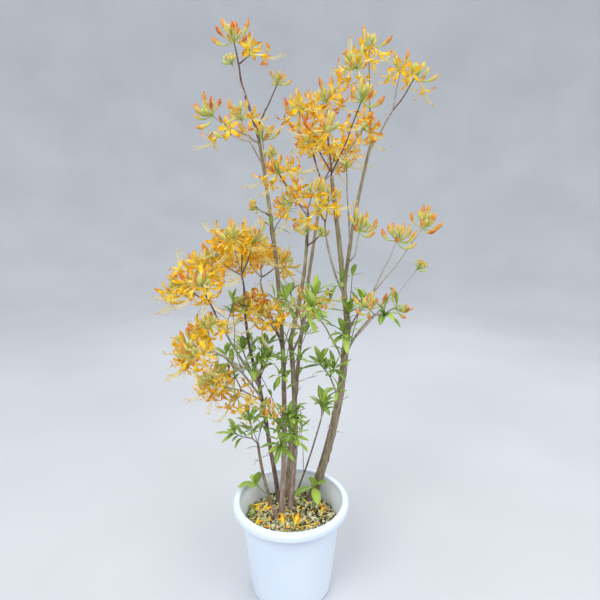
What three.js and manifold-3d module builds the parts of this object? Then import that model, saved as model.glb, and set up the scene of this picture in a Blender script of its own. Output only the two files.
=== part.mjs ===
// A potted deciduous azalea in bloom: a clump of slender stems in a round plastic pot, with
// funnel-shaped flowers in trusses at the ends of long whorled shoots.
// Millimetres, +Z up, origin at the middle of the pot's flat underside. The plant is seen in
// the photograph from -Y, with +X to the right. Bearings turn from +X towards +Y, and tilts
// are measured from upright.

import * as THREE from "three";
import { mergeVertices } from "three/addons/utils/BufferGeometryUtils.js";
import Module from "manifold-3d";

const wasm = await Module();
wasm.setup();

// Driving dimensions of the pot and its filling
const POT = {
  height: 198,
  rimRadius: 120,
  rimBand: 14,
  rimDepth: 16,
  shoulderRadius: 103,
  baseRadius: 84,
  baseChamfer: 4,
  wall: 2.6,
  floor: 4,
  segments: 36,
};
const SOIL = { level: 150, plateauRadius: 93, edgeDrop: 5 };

// Clearance between neighbouring solids, and the least overlap that counts as touching
const GAP = 0.3;
const TOUCH_MM3 = 1e-5;

// How far a limb's foot flares, as a share of its radius, and how quickly that dies away
const FLARE = 0.3;
const FLARE_HEIGHT = 11;
const LIMB_STEP = 90;

// The stems: foot on the soil, tip, sideways bow half way up, radii at foot and tip
const STEMS = [
  { name: "stem_right", foot: [43, 67], tip: [112, 15, 569], bow: [16, -4, 0], radii: [10, 6.6] },
  { name: "stem_centre", foot: [-4, 30], tip: [-1, 20, 528], bow: [11, 8, 0], radii: [6.4, 4.6] },
  { name: "stem_left_centre", foot: [-21, 17], tip: [-59, 25, 921], bow: [22, 16, 0], radii: [6, 3] },
  { name: "stem_left", foot: [-27, 50], tip: [-67, 5, 462], bow: [2, -2, 0], radii: [5, 3.6] },
  { name: "stem_left_outer", foot: [-40, 35], tip: [-73, 60, 285], bow: [-4, 0, 0], radii: [4, 2.8] },
  { name: "stem_slender", foot: [8, 80], tip: [64, 50, 348], bow: [3, 2, 0], radii: [2.2, 1.6] },
  { name: "stem_back", foot: [-12, 70], tip: [57, 118, 777], bow: [-7, 8, 0], radii: [4.8, 3.2] },
  { name: "old_stump", foot: [-30, -4], tip: [-35, -8, 178], bow: [0, 0, 0], radii: [5.6, 5] },
];

// The boughs: parent limb, where along it they leave, tip, bow half way, radii
const BOUGHS = [
  {
    name: "bough_right_upper", from: "stem_right", at: 1, tip: [74, -40, 843], bow: [0, -3, 0],
    radii: [5.6, 3.4],
  },
  {
    name: "bough_right_back", from: "bough_right_upper", at: 0.24, tip: [154, 45, 912],
    bow: [-4, 6, 0], radii: [3.8, 2.8],
  },
  {
    name: "bough_right_low", from: "stem_right", at: 0.82, tip: [154, -35, 590],
    bow: [-3, -4, 10], radii: [2.6, 1.8],
  },
  {
    name: "bough_mid", from: "bough_right_upper", at: 0.2, tip: [62, -60, 757], bow: [-7, -8, 0],
    radii: [2.4, 1.7],
  },
  {
    name: "bough_centre_upper", from: "stem_centre", at: 1, tip: [33, -40, 780], bow: [8, 6, 0],
    radii: [4.2, 2.6],
  },
  {
    name: "bough_top_left", from: "stem_left_centre", at: 1, tip: [-86, 15, 1007], bow: [0, 0, 0],
    radii: [2.7, 2.1],
  },
  {
    name: "bough_left_upper", from: "stem_left", at: 1, tip: [-84, -35, 640], bow: [-7, 2, 0],
    radii: [3.2, 2.2],
  },
  {
    name: "bough_left_outer", from: "stem_left", at: 0.92, tip: [-129, -85, 606], bow: [0, -8, 0],
    radii: [2.6, 1.8],
  },
  {
    name: "bough_left_low", from: "stem_left", at: 0.84, tip: [-107, -95, 528], bow: [0, -4, 6],
    radii: [2.4, 1.8],
  },
  {
    name: "bough_left_back", from: "stem_left_centre", at: 0.48, tip: [-66, 104, 632],
    bow: [-4, 5, 0], radii: [2.8, 2],
  },
  {
    name: "bough_centre_low", from: "stem_centre", at: 0.93, tip: [30, -45, 596], bow: [3, -4, 0],
    radii: [2.4, 1.8],
  },
];

// The masses: the limb and place that each grows from, the bearing and tilt of its axis, the
// length of its stalk, and its shoots: how many, the length and the spread of the first and
// the last, the bearing of the first, the turn to the next, and what their ends bear
const MASSES = [
  {
    name: "crown_top_left", on: "bough_top_left", at: 1, aim: [212, 10], stalk: 34, shoots: 2,
    length: [42, 26], spread: [3, 62], first: 212, turn: 150, bears: ["bud", "single"],
  },
  {
    name: "sprig_top_left", on: "bough_top_left", at: 0.74, aim: [206, 25], stalk: 28, shoots: 1,
    length: [38, 38], bears: ["green"],
  },
  {
    name: "spray_inner_bud", on: "bough_top_left", at: 0.12, aim: [29, 27], stalk: 40, shoots: 1,
    length: [60, 60], bears: ["small"],
  },
  {
    name: "spray_far_left", on: "stem_left_centre", at: 0.982, aim: [212, 66], stalk: 40,
    shoots: 1, length: [66, 66], bears: ["bud"],
  },
  {
    name: "spray_high_left", on: "stem_left_centre", at: 0.93, aim: [240, 46], stalk: 56,
    shoots: 2, length: [46, 44], spread: [40, 34], first: 96, turn: 110,
    bears: ["few", "single"],
  },
  {
    name: "cluster_stem_top", on: "stem_left_centre", at: 0.91, aim: [290, 34], stalk: 16,
    shoots: 2, length: [52, 32], spread: [32, 22], first: 120, bears: ["bud", "green"],
  },
  {
    name: "sprig_stem_mid", on: "stem_left_centre", at: 0.81, aim: [228, 66], stalk: 14,
    shoots: 1, length: [28, 28], bears: ["green"],
  },
  {
    name: "crown_candelabra", on: "bough_right_upper", at: 1, aim: [300, 5], stalk: 6, shoots: 5,
    length: [132, 94], spread: [20, 46], first: 108, turn: 216,
    bears: ["open", "bud", "mixed", "mixed", "open"],
  },
  {
    name: "crown_back", on: "stem_back", at: 1, aim: [20, 8], stalk: 66, shoots: 4,
    length: [96, 84], spread: [24, 40], first: 190, turn: 200,
    bears: ["open", "mixed", "open", "open"],
  },
  {
    name: "spray_centre_left", on: "bough_centre_upper", at: 0.97, aim: [215, 40], stalk: 34,
    shoots: 1, length: [62, 62], bears: ["mixed"],
  },
  {
    name: "cluster_centre", on: "bough_centre_upper", at: 1, aim: [250, 16], stalk: 8, shoots: 2,
    length: [35, 30], spread: [58, 27], first: 209, turn: 96, bears: ["mixed", "open"],
  },
  {
    name: "cluster_centre_right", on: "bough_mid", at: 1, aim: [300, 10], stalk: 8, shoots: 2,
    length: [37, 28], spread: [11, 50], first: 81, turn: 160, bears: ["mixed", "single"],
  },
  {
    name: "cluster_centre_buds", on: "bough_centre_upper", at: 0.74, aim: [300, 40], stalk: 10,
    shoots: 2, length: [38, 36], spread: [25, 24], first: 189, turn: 175,
    bears: ["small", "green"],
  },
  {
    name: "crown_top_right", on: "bough_right_back", at: 1, aim: [236, 8], stalk: 94, shoots: 2,
    length: [70, 60], spread: [5, 56], first: 279, turn: 317, bears: ["few", "mixed"],
  },
  {
    name: "crown_right", on: "bough_right_back", at: 0.94, aim: [356, 30], stalk: 86, shoots: 2,
    length: [71, 73], spread: [22, 1], first: 175, bears: ["few", "few"],
  },
  {
    name: "sprig_right_pale", on: "bough_right_back", at: 0.3, aim: [246, 12], stalk: 76,
    shoots: 1, length: [72, 72], bears: ["green"],
  },
  {
    name: "spray_right_outer", on: "stem_right", at: 0.95, aim: [342, 30], stalk: 90, shoots: 2,
    length: [130, 161], spread: [21, 9], first: 235, turn: 44, bears: ["bud", "bud"],
  },
  {
    name: "spray_right_mid", on: "bough_right_back", at: 0.18, aim: [290, 60], stalk: 34,
    shoots: 1, length: [52, 52], spread: [38, 38], first: 101, bears: ["bud"],
  },
  {
    name: "sprig_right_bare", on: "bough_right_low", at: 0.45, aim: [357, 40], stalk: 90,
    shoots: 1, length: [92, 92], bears: ["green"],
  },
  {
    name: "spray_right_low", on: "bough_right_low", at: 1, aim: [330, 40], stalk: 6, shoots: 3,
    length: [44, 18], spread: [34, 66], first: 0, turn: 270, bears: ["pair", "leaf", "bud"],
  },
  {
    name: "leaves_right_fork", on: "stem_right", at: 0.93, aim: [262, 44], stalk: 16, shoots: 2,
    length: [44, 40], spread: [34, 38], first: 250, bears: ["leaf", "leaf"],
  },
  {
    name: "spray_centre_low", on: "stem_right", at: 0.8, aim: [209, 30], stalk: 90, shoots: 1,
    length: [72, 72], bears: ["mixed"],
  },
  {
    name: "leaves_centre", on: "bough_centre_low", at: 1, aim: [250, 24], stalk: 8, shoots: 3,
    length: [44, 38], spread: [50, 56], first: 170, bears: ["leaf", "leaf", "leaf"],
  },
  {
    name: "leaves_front_low", on: "stem_centre", at: 0.42, aim: [246, 50], stalk: 30, shoots: 4,
    length: [80, 56], spread: [19, 30], first: 113, turn: -68, bears: ["bud", "leaf", "leaf", "leaf"],
  },
  {
    name: "leaves_right_stem", on: "stem_right", at: 0.6, aim: [226, 26], stalk: 66, shoots: 2,
    length: [34, 30], spread: [20, 34], first: 150, bears: ["leaf", "leaf"],
  },
  {
    name: "leaves_slender", on: "stem_slender", at: 1, aim: [10, 10], stalk: 6, shoots: 2,
    length: [36, 28], spread: [30, 38], first: 250, bears: ["leaf", "leaf"],
  },
  {
    name: "leaves_left_low", on: "stem_left_outer", at: 1, aim: [198, 40], stalk: 20, shoots: 2,
    length: [44, 40], spread: [22, 36], first: 200, bears: ["leaf", "leaf"],
  },
  {
    name: "leaves_left_inner", on: "stem_left", at: 0.9, aim: [130, 50], stalk: 14, shoots: 2,
    length: [72, 56], spread: [21, 58], first: 282, turn: 48, bears: ["leaf", "leaf"],
  },
  {
    name: "basal_leaves_left", on: "stem_left_outer", at: 0.2, aim: [200, 40], stalk: 12,
    shoots: 1, length: [34, 34], bears: ["leaf"],
  },
  {
    name: "basal_leaves_right", on: "stem_right", at: 0.07, aim: [262, 52], stalk: 20, shoots: 1,
    length: [16, 16], bears: ["leaf"],
  },
  {
    name: "bloom_left_upper", on: "bough_left_upper", at: 1, aim: [180, 8], stalk: 28, shoots: 4,
    length: [72, 58], spread: [20, 46], first: 262, bears: ["open", "open", "mixed", "open"],
  },
  {
    name: "bloom_left_outer", on: "bough_left_outer", at: 1, aim: [186, 24], stalk: 26, shoots: 3,
    length: [60, 52], spread: [24, 50], first: 50, bears: ["open", "open", "open"],
  },
  {
    name: "bloom_left_low", on: "bough_left_low", at: 1, aim: [200, 58], stalk: 28, shoots: 3,
    length: [48, 44], spread: [36, 44], first: 150, bears: ["open", "open", "mixed"],
  },
  {
    name: "bloom_left_back", on: "bough_left_back", at: 1, aim: [60, 14], stalk: 14, shoots: 3,
    length: [64, 56], spread: [34, 50], first: 262, bears: ["open", "mixed", "open"],
  },
  {
    name: "bloom_left_drooping", on: "stem_left", at: 0.82, aim: [222, 54], stalk: 60, shoots: 3,
    length: [24, 62], spread: [46, 13], first: 276, turn: 134, bears: ["mixed", "single", "open"],
  },
  {
    name: "bloom_front", on: "stem_left_centre", at: 0.48, aim: [240, 38], stalk: 40, shoots: 2,
    length: [95, 73], spread: [15, 18], first: 183, turn: 116, bears: ["mixed", "open"],
  },
  {
    name: "bloom_back", on: "stem_back", at: 0.6, aim: [96, 40], stalk: 40, shoots: 2,
    length: [62, 56], spread: [40, 48], first: 60, bears: ["open", "leaf"],
  },
];

// Twig radii at a mass's root, its fork, and near and at the thickened end of a shoot. A shoot
// sags below its straight line by a share of its length, and a longest one has a joint more.
const TWIG = { root: 1.9, fork: 1.6, end: 1.15, head: 3, headLength: 6, sag: 0.05, longest: 75 };

// What each kind of shoot end carries. Angles are from the shoot's own direction. Only every
// second flower, bud or leaf is made here, a little larger than life.
const HEADS = {
  open: { flowers: 7, buds: 3, from: 8, to: 112, leaves: 0 },
  mixed: { flowers: 5, buds: 5, from: 8, to: 108, leaves: 0 },
  few: { flowers: 3, buds: 5, from: 8, to: 108, leaves: 0 },
  single: { flowers: 3, buds: 0, from: 30, to: 80, leaves: 0 },
  bud: { flowers: 0, buds: 10, from: 6, to: 84, leaves: 0 },
  small: { flowers: 0, buds: 8, from: 6, to: 80, leaves: 0, size: 0.7 },
  pair: { flowers: 0, buds: 4, from: 50, to: 80, leaves: 3 },
  green: { flowers: 0, buds: 6, from: 10, to: 80, leaves: 0, size: 0.45 },
  leaf: { flowers: 0, buds: 0, from: 25, to: 78, leaves: 8 },
};
const EVERY = 2;
const GOLDEN_ANGLE = 137.508;
const DROOP = 0.14;

const FLOWER = {
  tube: 30,
  tubeSpread: 3,
  petal: 22,
  petalSpread: 2.5,
  throat: 3.6,
  notch: 6.6,
  cup: 4,
  hollow: 1,
  lift: 0.5,
};

// The tuft of stamens of a flower that faces out of the crown: how thick it is at the throat,
// how far it stands out of the flower, and how much its end rises
const TUFT = { radius: 1.2, reach: 27, rise: 9, outward: 0.35 };
const BUD = { length: 42, lengthSpread: 7, radius: 4.6, widest: 0.72, neck: 1.4, neckAt: 0.4 };
const LEAF = { length: 42, lengthSpread: 8, width: 13, thickness: 1.4, widest: 0.56 };

// How far the roots of flowers and leaves lie below a shoot's thickened end, and behind it
const ROOT = { below: 2, behind: 1.6 };

// How much nearer to another mass's heads than to its own a flower or leaf may reach
const SPACE_MARGIN = 5;

const COLOURS = {
  pot: [0xf2f5fa, 0.42],
  soil: [0x5b4a3a, 0.95],
  bark: [0x8a7263, 0.85],
  bloom: [0xf59a2a, 0.6],
  bud: [0xd9a548, 0.6],
  leaf: [0x6c9a3c, 0.6],
};

const UP = new THREE.Vector3(0, 0, 1);
const RIGHT = new THREE.Vector3(1, 0, 0);

// A small repeatable stream of numbers from 0 to 1.
function seeded(seed) {
  let state = seed >>> 0;
  const draw = () => {
    state = (Math.imul(state, 1664525) + 1013904223) >>> 0;
    return state / 4294967296;
  };
  draw();
  draw();
  return draw;
}

// A number for a name, so that each mass has a stream of its own.
function seedOf(name) {
  let sum = 7;
  for (const letter of name) sum = (Math.imul(sum, 31) + letter.charCodeAt(0)) >>> 0;
  return sum;
}

// A number within spread of the middle value.
const near = (draw, middle, spread) => middle + spread * (2 * draw() - 1);

// The unit vector at a bearing and a tilt, in degrees.
function direction(bearing, tilt) {
  const b = THREE.MathUtils.degToRad(bearing);
  const t = THREE.MathUtils.degToRad(tilt);
  return new THREE.Vector3(Math.sin(t) * Math.cos(b), Math.sin(t) * Math.sin(b), Math.cos(t));
}

// Two unit vectors square to an axis and to each other.
function sides(axis) {
  const start = Math.abs(axis.x) > 0.9 ? UP : RIGHT;
  const u = start.clone().addScaledVector(axis, -axis.dot(start)).normalize();
  return [u, axis.clone().cross(u)];
}

// A bearing and a tilt measured round any axis in place of the vertical.
function around(axis, bearing, tilt) {
  const [u, v] = sides(axis);
  const d = direction(bearing, tilt);
  return u.multiplyScalar(d.x).addScaledVector(v, d.y).addScaledVector(axis, d.z);
}

// The line through two points whose middle is pushed aside by the bow.
function bowed(from, to, bow) {
  const middle = from.clone().add(to).multiplyScalar(0.5);
  return new THREE.QuadraticBezierCurve3(from, middle.addScaledVector(bow, 2), to);
}

// A closed geometry as a solid for joining and cutting.
function solidOf(geometry) {
  const bare = geometry.clone();
  bare.deleteAttribute("normal");
  bare.deleteAttribute("uv");
  const merged = mergeVertices(bare, 1e-4);
  const mesh = new wasm.Mesh({
    numProp: 3,
    vertProperties: merged.getAttribute("position").array,
    triVerts: new Uint32Array(merged.index.array),
  });
  return new wasm.Manifold(mesh);
}

// A solid's surface as a geometry.
function geometryOf(solid) {
  const mesh = solid.getMesh();
  const geometry = new THREE.BufferGeometry();
  geometry.setAttribute("position", new THREE.BufferAttribute(mesh.vertProperties, 3));
  geometry.setIndex(new THREE.BufferAttribute(mesh.triVerts, 1));
  geometry.computeVertexNormals();
  return geometry;
}

// A ring of points round an axis.
function ring(centre, axis, radius, count, turn = 0) {
  const out = (i) => around(axis, turn + (360 * i) / count, 90);
  const place = (i) => centre.clone().addScaledVector(out(i), radius);
  return Array.from({ length: count }, (_, i) => place(i));
}

// A closed solid from its points and its triangles.
function closed(points, faces) {
  const geometry = new THREE.BufferGeometry().setFromPoints(points);
  geometry.setIndex(faces.flat());
  return solidOf(geometry);
}

// A rod of a few sides bent along a curve, with a ring of points at each share along it.
function rod(curve, shares, radiusAt, count) {
  const points = shares.flatMap((share) =>
    ring(curve.getPointAt(share), curve.getTangentAt(share), radiusAt(share), count));
  const faces = [];
  for (let i = 0; i < points.length - count; i += 1) {
    const next = (i + 1) % count === 0 ? i + 1 - count : i + 1;
    faces.push([i, next, next + count], [i, next + count, i + count]);
  }
  const last = points.length - count;
  for (let i = 1; i < count - 1; i += 1) {
    faces.push([0, i + 1, i], [last, last + i, last + i + 1]);
  }
  return closed(points, faces);
}

// Evenly spaced shares from 0 to 1.
const evenly = (steps) => Array.from({ length: steps + 1 }, (_, i) => i / steps);

// A turned body from its profile of [radius, height] points.
function turned(profile) {
  const points = profile.map(([r, z]) => new THREE.Vector2(r, z));
  const geometry = new THREE.LatheGeometry(points, POT.segments);
  geometry.rotateX(Math.PI / 2);
  return solidOf(geometry);
}

// The pot's outer radius at a height below its rim.
function potRadius(z) {
  const share = (z - POT.baseChamfer) / (POT.height - POT.rimDepth - POT.baseChamfer);
  return THREE.MathUtils.lerp(POT.baseRadius, POT.shoulderRadius, share);
}

// The pot: a tapering wall, a flat floor and a rolled rim whose lip hangs clear of the wall.
function pot() {
  const { height, rimRadius, rimBand, rimDepth, baseRadius, baseChamfer, wall, floor } = POT;
  const under = height - rimDepth;
  const inner = rimRadius - rimBand;
  return turned([
    [0, 0],
    [baseRadius - baseChamfer, 0],
    [baseRadius, baseChamfer],
    [potRadius(under), under],
    [potRadius(under) + 1, under + 5],
    [rimRadius - 3, under + 5],
    [rimRadius - 2, under],
    [rimRadius, under + 2],
    [rimRadius, height - 6],
    [rimRadius - 5, height],
    [inner + 3, height],
    [inner, height - 4],
    [potRadius(under) - wall, under - 4],
    [baseRadius - wall, floor + 2],
    [baseRadius - wall - 2, floor],
    [0, floor],
  ]);
}

// The potting mix: it fills the pot to below the rim and is heaped a little round the stems.
function soil() {
  const { baseRadius, wall, floor } = POT;
  const edge = SOIL.level - SOIL.edgeDrop;
  const wallAt = (z) => potRadius(z) - wall - 2 * GAP;
  return turned([
    [0, floor + GAP],
    [baseRadius - wall - 2 - GAP, floor + GAP],
    [baseRadius - wall - 2 * GAP, floor + 2 + GAP],
    [wallAt(edge), edge],
    [SOIL.plateauRadius, SOIL.level],
    [0, SOIL.level],
  ]);
}

// Every limb by name, as its curve, radii and solid, with the same solid swollen by the gap.
const limbs = new Map();

function addLimb({ name, curve, radii, flare, cut }) {
  const length = curve.getLength();
  const shares = evenly(Math.max(2, Math.round(length / LIMB_STEP)));
  if (flare) shares.splice(1, 0, FLARE_HEIGHT / length);
  const count = radii[0] > 4 ? 8 : 6;
  const radiusAt = (share) => {
    const swell = flare ? 1 + FLARE * Math.exp((-share * length) / FLARE_HEIGHT) : 1;
    return THREE.MathUtils.lerp(radii[0], radii[1], share) * swell;
  };
  const made = rod(curve, shares, radiusAt, count);
  const swollen = rod(curve, shares, (share) => radiusAt(share) + GAP, count);
  limbs.set(name, { curve, solid: cut(made), swollen });
}

for (const { name, foot, tip, bow, radii } of STEMS) {
  const from = new THREE.Vector3(foot[0], foot[1], SOIL.level - 4);
  const curve = bowed(from, new THREE.Vector3(...tip), new THREE.Vector3(...bow));
  const level = SOIL.level + GAP;
  addLimb({ name, curve, radii, flare: true, cut: (solid) => solid.trimByPlane([0, 0, 1], level) });
}

// What a limb leaves of a rod that starts on it: beyond its end, or outside its side.
function clearOf(limb, at, solid) {
  if (at < 1) return solid.subtract(limb.swollen);
  const end = limb.curve.getPoint(1);
  const along = limb.curve.getTangent(1);
  return solid.trimByPlane(along.toArray(), end.dot(along) + GAP);
}

for (const { name, from, at, tip, bow, radii } of BOUGHS) {
  const parent = limbs.get(from);
  const curve = bowed(parent.curve.getPointAt(at), new THREE.Vector3(...tip), new THREE.Vector3(...bow));
  addLimb({ name, curve, radii, flare: false, cut: (solid) => clearOf(parent, at, solid) });
}

// A flower: a funnel tube that opens into five narrow petals, as one closed star. Its middle
// is hollow, or is drawn out into a tuft of stamens.
function flower(root, axis, spin, tube, petal, tufted) {
  const along = (height) => root.clone().addScaledVector(axis, height);
  const points = [
    root,
    along(tube - FLOWER.hollow),
    ...ring(along(tube - FLOWER.cup), axis, FLOWER.throat, 5, spin),
    ...ring(along(tube), axis, FLOWER.notch, 5, spin + 36),
    ...ring(along(tube + FLOWER.lift), axis, petal, 5, spin),
  ];
  if (tufted) {
    points[1] = along(tube + TUFT.reach).addScaledVector(UP, TUFT.rise);
    points.push(...ring(along(tube - FLOWER.hollow), axis, TUFT.radius, 5, spin));
  }
  const faces = [];
  for (let i = 0; i < 5; i += 1) {
    const throat = 2 + i;
    const nextThroat = 2 + ((i + 1) % 5);
    const notch = 7 + i;
    const lastNotch = 7 + ((i + 4) % 5);
    const tip = 12 + i;
    const middle = tufted ? 17 + i : 1;
    const nextMiddle = tufted ? 17 + ((i + 1) % 5) : 1;
    faces.push([0, nextThroat, throat], [throat, nextThroat, notch]);
    faces.push([throat, notch, tip], [throat, tip, lastNotch]);
    faces.push([middle, tip, notch], [middle, lastNotch, tip]);
    if (tufted) faces.push([middle, notch, nextMiddle], [middle, nextMiddle, 1]);
  }
  return closed(points, faces);
}

// A bud: a thin neck that swells to a pointed spindle.
function bud(root, axis, spin, length, radius) {
  const along = (share) => root.clone().addScaledVector(axis, length * share);
  const points = [
    root,
    along(1),
    ...ring(along(BUD.neckAt), axis, BUD.neck, 3, spin),
    ...ring(along(BUD.widest), axis, radius, 3, spin),
  ];
  const faces = [];
  for (let i = 0; i < 3; i += 1) {
    const next = (i + 1) % 3;
    faces.push([0, 2 + next, 2 + i], [1, 5 + i, 5 + next]);
    faces.push([2 + i, 2 + next, 5 + next], [2 + i, 5 + next, 5 + i]);
  }
  return closed(points, faces);
}

// A leaf: a thin eight-faced blade, widest past its middle, lying square to the upward side.
function leaf(root, axis, length) {
  const across = UP.clone().cross(axis).normalize();
  const face = axis.clone().cross(across);
  const blade = new THREE.OctahedronGeometry(1);
  const places = blade.getAttribute("position");
  const point = new THREE.Vector3();
  for (let i = 0; i < places.count; i += 1) {
    const along = places.getX(i) * 0.5 + 0.5;
    const middle = places.getX(i) === 0 ? LEAF.widest : along;
    point.copy(root).addScaledVector(axis, middle * length);
    point.addScaledVector(across, places.getY(i) * 0.5 * LEAF.width);
    point.addScaledVector(face, places.getZ(i) * 0.5 * LEAF.thickness);
    places.setXYZ(i, point.x, point.y, point.z);
  }
  return solidOf(blade);
}

// The twigs of a mass and the heads at their ends, by the seeded rule.
function grow(row) {
  const draw = seeded(seedOf(row.name));
  const limb = limbs.get(row.on);
  const axis = direction(...row.aim);
  const root = limb.curve.getPointAt(row.at);
  const fork = root.clone().addScaledVector(axis, row.stalk);
  const straight = new THREE.Vector3();
  const stalk = bowed(root, fork, straight);
  const shoots = [];
  const heads = [];
  for (let i = 0; i < row.shoots; i += 1) {
    const share = row.shoots > 1 ? i / (row.shoots - 1) : 0;
    const bearing = near(draw, (row.first ?? 0) + i * (row.turn ?? 360 / row.shoots), 6);
    const tilt = row.spread ? near(draw, THREE.MathUtils.lerp(...row.spread, share), 3) : 0;
    const length = near(draw, 1, 0.04) * THREE.MathUtils.lerp(...row.length, share);
    const aim = around(axis, bearing, tilt);
    const end = fork.clone().addScaledVector(aim, length);
    const sag = UP.clone().multiplyScalar(-TWIG.sag * length);
    const shoot = bowed(fork, end, sag);
    const axisThere = shoot.getTangent(1);
    const centre = end.clone().addScaledVector(axisThere, -ROOT.below);
    shoots.push(shoot);
    heads.push({ centre, aim: axisThere, kind: row.bears[i], seed: i + 1 });
  }
  return { row, limb, stalk, shoots, heads };
}

// True where a flower faces away from the plant's upright middle line.
function facesOut(root, axis) {
  const away = Math.hypot(root.x, root.y);
  return axis.x * root.x + axis.y * root.y > TUFT.outward * away;
}

// The flowers, buds and leaves of a head: each with its direction, its reach, and the solids
// that may stand for it, the fullest first.
function dress(name, head) {
  const draw = seeded(seedOf(name) + 977 * head.seed);
  const kind = HEADS[head.kind];
  const size = kind.size ?? 1;
  const phase = 360 * draw();
  const parts = [];
  const count = kind.flowers + kind.buds;
  const cosine = (angle) => Math.cos(THREE.MathUtils.degToRad(angle));
  for (let i = 0; i < count; i += 1) {
    const share = (i + 0.5) / count;
    const tilt = near(draw, THREE.MathUtils.radToDeg(
      Math.acos(THREE.MathUtils.lerp(cosine(kind.from), cosine(kind.to), share))), 5);
    const axis = around(head.aim, phase + GOLDEN_ANGLE * i, tilt);
    const open = i >= kind.buds;
    if (open) axis.addScaledVector(UP, -DROOP).normalize();
    const root = head.centre.clone().addScaledVector(axis, -ROOT.behind);
    const spin = 360 * draw();
    const long = 2 * draw() - 1;
    if (i % EVERY) continue;
    if (open) {
      const tube = FLOWER.tube + FLOWER.tubeSpread * long;
      const petal = FLOWER.petal + FLOWER.petalSpread * long;
      const kinds = facesOut(root, axis) ? [true, false] : [false];
      const solids = kinds.map((tufted) => flower(root, axis, spin, tube, petal, tufted));
      parts.push({ solids, axis, reach: tube });
    } else {
      const length = size * (BUD.length + BUD.lengthSpread * long);
      const radius = BUD.radius * Math.sqrt(size);
      parts.push({ solids: [bud(root, axis, spin, length, radius)], axis, reach: length });
    }
  }
  for (let i = 0; i < kind.leaves; i += 1) {
    const share = (i + 0.5) / kind.leaves;
    const tilt = near(draw, THREE.MathUtils.lerp(kind.from, kind.to, share), 6);
    const axis = around(head.aim, phase + GOLDEN_ANGLE * i, tilt);
    const long = 2 * draw() - 1;
    if (i % EVERY) continue;
    const length = LEAF.length + LEAF.lengthSpread * long;
    const root = head.centre.clone().addScaledVector(axis, -ROOT.behind);
    parts.push({ solids: [leaf(root, axis, length)], axis, reach: length });
  }
  return parts;
}

// A shoot's own solid, thickened at its end, where its flowers or leaves are rooted.
function shootSolid(curve) {
  const length = curve.getLength();
  const neck = 1 - TWIG.headLength / length;
  const shares = length > TWIG.longest ? [0, neck / 2, neck, 1] : [0, neck, 1];
  const radiusAt = (share) =>
    share === 1 ? TWIG.head : THREE.MathUtils.lerp(TWIG.fork, TWIG.end, share);
  return rod(curve, shares, radiusAt, 3);
}

// True where two solids share space.
function touches(a, b) {
  const p = a.boundingBox();
  const q = b.boundingBox();
  for (let i = 0; i < 3; i += 1) if (p.max[i] < q.min[i] || q.max[i] < p.min[i]) return false;
  return a.intersect(b).volume() > TOUCH_MM3;
}

// The largest body of a solid, without loose scraps.
function wholeOf(solid) {
  const bodies = solid.decompose();
  return bodies.reduce((best, body) => (body.volume() > best.volume() ? body : best));
}

// All twigs are laid first. Flowers and leaves follow, and those that would touch a limb, a
// twig or a flower of another mass, or reach into another mass's space, are skipped.
const masses = MASSES.map(grow);
for (const mass of masses) {
  const stalkRadius = (share) => THREE.MathUtils.lerp(TWIG.root, TWIG.fork, share);
  const stalk = clearOf(mass.limb, mass.row.at, rod(mass.stalk, [0, 1], stalkRadius, 3));
  mass.frame = wasm.Manifold.union([stalk, ...mass.shoots.map(shootSolid)]);
  mass.own = [];
}

function inOwnSpace(mass, point) {
  const nearest = (group) => Math.min(...group.heads.map((head) => head.centre.distanceTo(point)));
  const own = nearest(mass);
  return masses.every((other) => other === mass || own < nearest(other) + SPACE_MARGIN);
}

for (const mass of masses) {
  const others = masses.filter((other) => other !== mass);
  const isClear = (solid) =>
    ![...limbs.values()].some((limb) => touches(solid, limb.swollen)) &&
    !others.some((other) => [other.frame, ...other.own].some((piece) => touches(solid, piece)));
  for (const head of mass.heads) {
    for (const { solids, axis, reach } of dress(mass.row.name, head)) {
      const far = head.centre.clone().addScaledVector(axis, reach);
      const fitting = inOwnSpace(mass, far) ? solids.find(isClear) : undefined;
      if (fitting) mass.own.push(fitting);
    }
  }
}

// A named mesh in one of the part's colours.
function named(name, solid, kind) {
  const [colour, roughness] = COLOURS[kind];
  const material = new THREE.MeshStandardMaterial({ color: colour, roughness, metalness: 0 });
  const mesh = new THREE.Mesh(geometryOf(solid), material);
  mesh.name = name;
  return mesh;
}

// What a mass mostly shows.
function looksOf({ row }) {
  if (row.bears.includes("leaf")) return "leaf";
  return row.bears.some((kind) => HEADS[kind].flowers) ? "bloom" : "bud";
}

const plant = new THREE.Group();
plant.add(named("pot", pot(), "pot"));
plant.add(named("soil", soil(), "soil"));
for (const [name, { solid }] of limbs) plant.add(named(name, wholeOf(solid), "bark"));
for (const mass of masses) {
  const fused = wasm.Manifold.union([mass.frame, ...mass.own]);
  plant.add(named(mass.row.name, wholeOf(fused), looksOf(mass)));
}

export default plant;
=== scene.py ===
"""Looks of a potted azalea in bloom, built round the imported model.

Shapes are worked out in millimetres in the model's own frame, and each mesh is made in metres.
Bearings turn from +X towards +Y, and tilts are measured from upright.
"""

import math

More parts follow.
